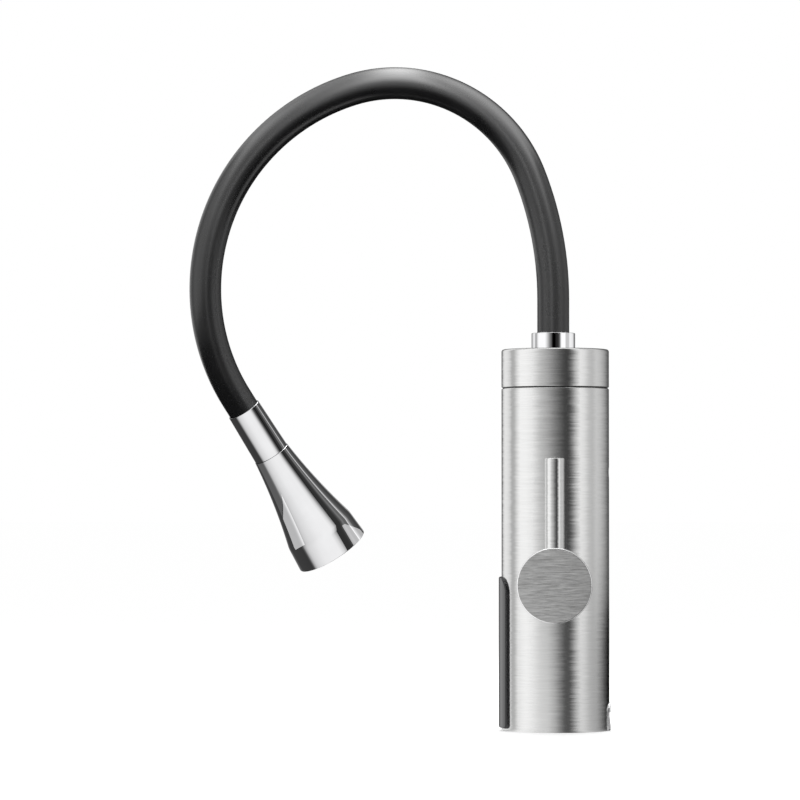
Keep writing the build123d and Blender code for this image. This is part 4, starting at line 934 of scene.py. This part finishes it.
def nozzlePlate(look, bell):
    front = bell["start"] + bell["length"] - bell["plateRecess"]
    back = front - bell["plateThickness"]
    hole, radius = look["hole"], look["radius"]
    work = spinProfile([(hole, back), (radius, back), (radius, front), (hole, front)], 128)
    roundRing(work, radius, front, look["edge"], 3)
    roundRing(work, hole, front, look["edge"], 3)
    nozzle = softNozzle(look)
    mesh = bpy.data.meshes.new("nozzle")
    nozzle.to_mesh(mesh)
    nozzle.free()
    for ringRadius, count, firstAngle in look["rings"]:
        for i in range(count):
            turn = Matrix.Rotation(math.radians(firstAngle + 360 * i / count), 4, "Z")
            held = set(work.verts)
            work.from_mesh(mesh)
            fresh = [v for v in work.verts if v not in held]
            bmesh.ops.transform(work, matrix=turn @ Matrix.Translation((ringRadius, 0, front)), verts=fresh)
    bpy.data.meshes.remove(mesh)
    bmesh.ops.recalc_face_normals(work, faces=work.faces[:])
    return work


placePiece(
    nozzlePlate(nozzleLook, bellLook), "nozzlePlate", "spray_head", greySilicone,
    ["nozzle_plate"], headFrame, angle=40,
)
print("spout made")


# Cable outlet in the foot's notch: an arch with a hood over the hole
outletLook = {
    "halfWidth": 7.4, "archHeight": 7.9, "bottom": 0.2, "back": 20.6, "front": 29.7, "edge": 0.3,
    "hood": 30.05, "hoodFrom": 10.3, "hoodStep": 0.4, "hoodBend": 12.6, "hoodTop": 15.3, "hoodFall": 0.9,
    "holeRadius": 3.8, "holeHeight": 6.6, "holeBack": 15.0, "holeFront": 32.0, "mouth": 0.5, "slab": 10.0,
    "levels": (4.0, 9.4, 10.0, 10.3, 10.7, 11.4, 12.4, 13.4, 14.2, 14.8), "strips": 16,
}


def outletReach(look, height):
    # how far out the outlet's face stands at this height
    if height < look["hoodFrom"]:
        return look["front"]
    rise = min(1.0, (height - look["hoodFrom"]) / look["hoodStep"])
    fall = max(0.0, (height - look["hoodBend"]) / (look["hoodTop"] - look["hoodBend"]))
    return look["front"] + (look["hood"] - look["front"]) * rise - look["hoodFall"] * fall**2


def cableArch(look):
    work = bmesh.new()
    bmesh.ops.create_circle(
        work, cap_ends=True, segments=48, radius=look["halfWidth"],
        matrix=Matrix.Translation((0, 0, look["archHeight"])) @ Matrix.Rotation(math.radians(90), 4, "Y"),
    )
    for v in work.verts:
        if v.co.z < look["archHeight"] - 0.01:
            v.co.y = math.copysign(look["halfWidth"], v.co.y) if abs(v.co.y) > 1e-4 else 0.0
            v.co.z = look["bottom"]
    bmesh.ops.remove_doubles(work, verts=work.verts[:], dist=1e-4)
    grown = bmesh.ops.extrude_face_region(work, geom=work.faces[:])["geom"]
    front = {g for g in grown if isinstance(g, bmesh.types.BMVert)}
    bmesh.ops.translate(work, vec=(look["slab"], 0, 0), verts=list(front))
    bmesh.ops.recalc_face_normals(work, faces=work.faces[:])
    rim = [e for e in work.edges if all(v in front for v in e.verts)]
    bmesh.ops.bevel(
        work, geom=rim, offset=look["edge"], offset_type="OFFSET", segments=4, profile=0.5,
        affect="EDGES", material=-1,
    )
    for i in range(1, look["strips"]):
        y = look["halfWidth"] * (2 * i / look["strips"] - 1)
        bmesh.ops.bisect_plane(work, geom=wholeOf(work), plane_co=(0, y, 0), plane_no=(0, 1, 0), dist=1e-5)
    for z in look["levels"]:
        bmesh.ops.bisect_plane(work, geom=wholeOf(work), plane_co=(0, 0, z), plane_no=(0, 0, 1), dist=1e-5)
    for v in work.verts:  # the slab's front bends round the column
        if v.co.x > look["slab"] / 2:
            v.co.x = math.sqrt((outletReach(look, v.co.z) + v.co.x - look["slab"]) ** 2 - v.co.y**2)
        else:
            v.co.x = look["back"]
    bmesh.ops.recalc_face_normals(work, faces=work.faces[:])
    return work


outlet = placePiece(
    cableArch(outletLook), "cableOutlet", "column", platedPlastic, ["cable_outlet"],
    angle=40,
)
bore, mouth, front = outletLook["holeRadius"], outletLook["mouth"], outletLook["front"]
profile = [
    (0.0, outletLook["holeBack"]), (bore, outletLook["holeBack"]), (bore, front - mouth),
    (bore + mouth, front), (bore + mouth, outletLook["holeFront"]), (0.0, outletLook["holeFront"]),
]
work = spinProfile(profile, 64, closed=False)
holeFrame = Matrix.Translation((0, 0, outletLook["holeHeight"])) @ towardsX
bmesh.ops.transform(work, matrix=holeFrame, verts=work.verts[:])
cutWith(outlet, cutterFrom(work))
outlet.data.set_sharp_from_angle(angle=math.radians(35))
print("outlet made")


# Display panel down the left side
panelLook = {
    "inner": 29.05, "thickness": 1.5, "halfWidth": 15.4, "bottom": 1.5, "top": 82.8,
    "topRounding": 9.0, "bottomRounding": 2.0, "edge": 0.9, "strips": 34,
}


def bentPanel(look):
    # a flat slab with rounded corners, cut into upright strips and then bent round the column
    work = bmesh.new()
    halfHeight = (look["top"] - look["bottom"]) / 2
    middle = look["bottom"] + halfHeight
    upright = Matrix.Translation((0, 0, middle)) @ Matrix.Rotation(math.radians(-90), 4, "Y")
    size = Matrix.Diagonal((halfHeight, look["halfWidth"], 1, 1))
    bmesh.ops.create_grid(work, x_segments=1, y_segments=1, size=1.0, matrix=upright @ size)
    for upper, rounding, steps in ((True, look["topRounding"], 12), (False, look["bottomRounding"], 6)):
        corners = [v for v in work.verts if (v.co.z > middle) == upper]
        bmesh.ops.bevel(
            work, geom=corners, offset=rounding, offset_type="OFFSET", segments=steps, profile=0.5,
            affect="VERTICES", material=-1,
        )
    grown = bmesh.ops.extrude_face_region(work, geom=work.faces[:])["geom"]
    front = [g for g in grown if isinstance(g, bmesh.types.BMVert)]
    bmesh.ops.translate(work, vec=(-look["thickness"], 0, 0), verts=front)
    bmesh.ops.recalc_face_normals(work, faces=work.faces[:])
    rim = [e for e in work.edges if all(v.co.x < -look["thickness"] + 0.01 for v in e.verts)]
    bmesh.ops.bevel(
        work, geom=rim, offset=look["edge"], offset_type="OFFSET", segments=6, profile=0.5,
        affect="EDGES", material=-1,
    )
    for i in range(1, look["strips"]):
        y = look["halfWidth"] * (2 * i / look["strips"] - 1)
        bmesh.ops.bisect_plane(work, geom=wholeOf(work), plane_co=(0, y, 0), plane_no=(0, 1, 0), dist=1e-5)
    outer = look["inner"] + look["thickness"]
    for v in work.verts:  # its long edges point at the column's middle
        radius = look["inner"] - v.co.x
        v.co.y *= radius / outer
        v.co.x = -math.sqrt(radius**2 - v.co.y**2)
    bmesh.ops.recalc_face_normals(work, faces=work.faces[:])
    return work


placePiece(
    bentPanel(panelLook), "displayFace", "column", glossPanel, ["display_panel"], angle=50,
)
print("panel made")


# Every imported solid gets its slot's finish, also where a new piece stands for it
nodeFinishes = {
    "brushed_steel": shellSteel, "brushed_steel_hub": hubFaceSteel, "polished_steel": leverSteel,
    "chrome": mirrorChrome, "chrome_plastic": platedPlastic, "steel": plainSteel,
    "magnet_steel": magnetSteel, "brass": machinedBrass, "aluminium": milledAluminium,
    "black_silicone": siliconeHose,
    "black_gloss": glossPanel, "black_trim": mattBlack, "black_plastic": mattBlack,
    "white_plastic": whitePlastic, "red_plastic": redPlastic, "board_green": boardLacquer,
    "rubber": softRubber, "grey_silicone": greySilicone, "clear_hose": milkyHose, "ceramic": lappedCeramic,
}
slotOf = {part["node"]: part["material_slot"] for part in frame["record"]["subparts"]}
for nodeName, node in frame["nodes"].items():
    node.data.materials.clear()
    node.data.materials.append(nodeFinishes[slotOf[nodeName]])
print("solids dressed")


# Some cards and lamps are meant for a few pieces alone, and some for all but a few, as with studio flags
headPieces = ["headCone", "sprayBell", "nozzlePlate"]
chromePieces = headPieces + ["unionNut"]
lightTargets = {
    "columnWall": (cards, chromePieces, "EXCLUDE"),
    "floorClose": (cards, chromePieces + ["spoutHose"], "EXCLUDE"),
    "floorNear": (cards, chromePieces + ["spoutHose"], "EXCLUDE"),
    "columnFloor": (cards, chromePieces + ["spoutHose"], "EXCLUDE"),
    "columnFlag": (cards, chromePieces, "EXCLUDE"),
    "headCove": (cards, headPieces, "INCLUDE"),
    "headFlag": (cards, headPieces, "INCLUDE"),
    "bellPatch": (cards, ["sprayBell"], "INCLUDE"),
    "bellPatchHigh": (cards, ["sprayBell"], "INCLUDE"),
    "mouthPatch": (cards, ["sprayBell"], "INCLUDE"),
    "nutCove": (cards, ["unionNut"], "INCLUDE"),
    "rimRing": (cards, ["roundHub"], "INCLUDE"),
    "outletGlow": (cards, ["cableOutlet"], "INCLUDE"),
    "hoseArch": (cards, ["spoutHose"], "INCLUDE"),
    "topSoftbox": (lamps, ["spoutHose", "columnCap"], "EXCLUDE"),
    "hubSoftbox": (lamps, ["roundHub"], "INCLUDE"),
}
for name, (sources, targets, state) in lightTargets.items():
    group = bpy.data.collections.new(name + "Targets")
    for target in targets:
        group.objects.link(bpy.data.objects[target])
    for member in group.collection_objects:
        member.light_linking.link_state = state
    sources[name].light_linking.receiver_collection = group
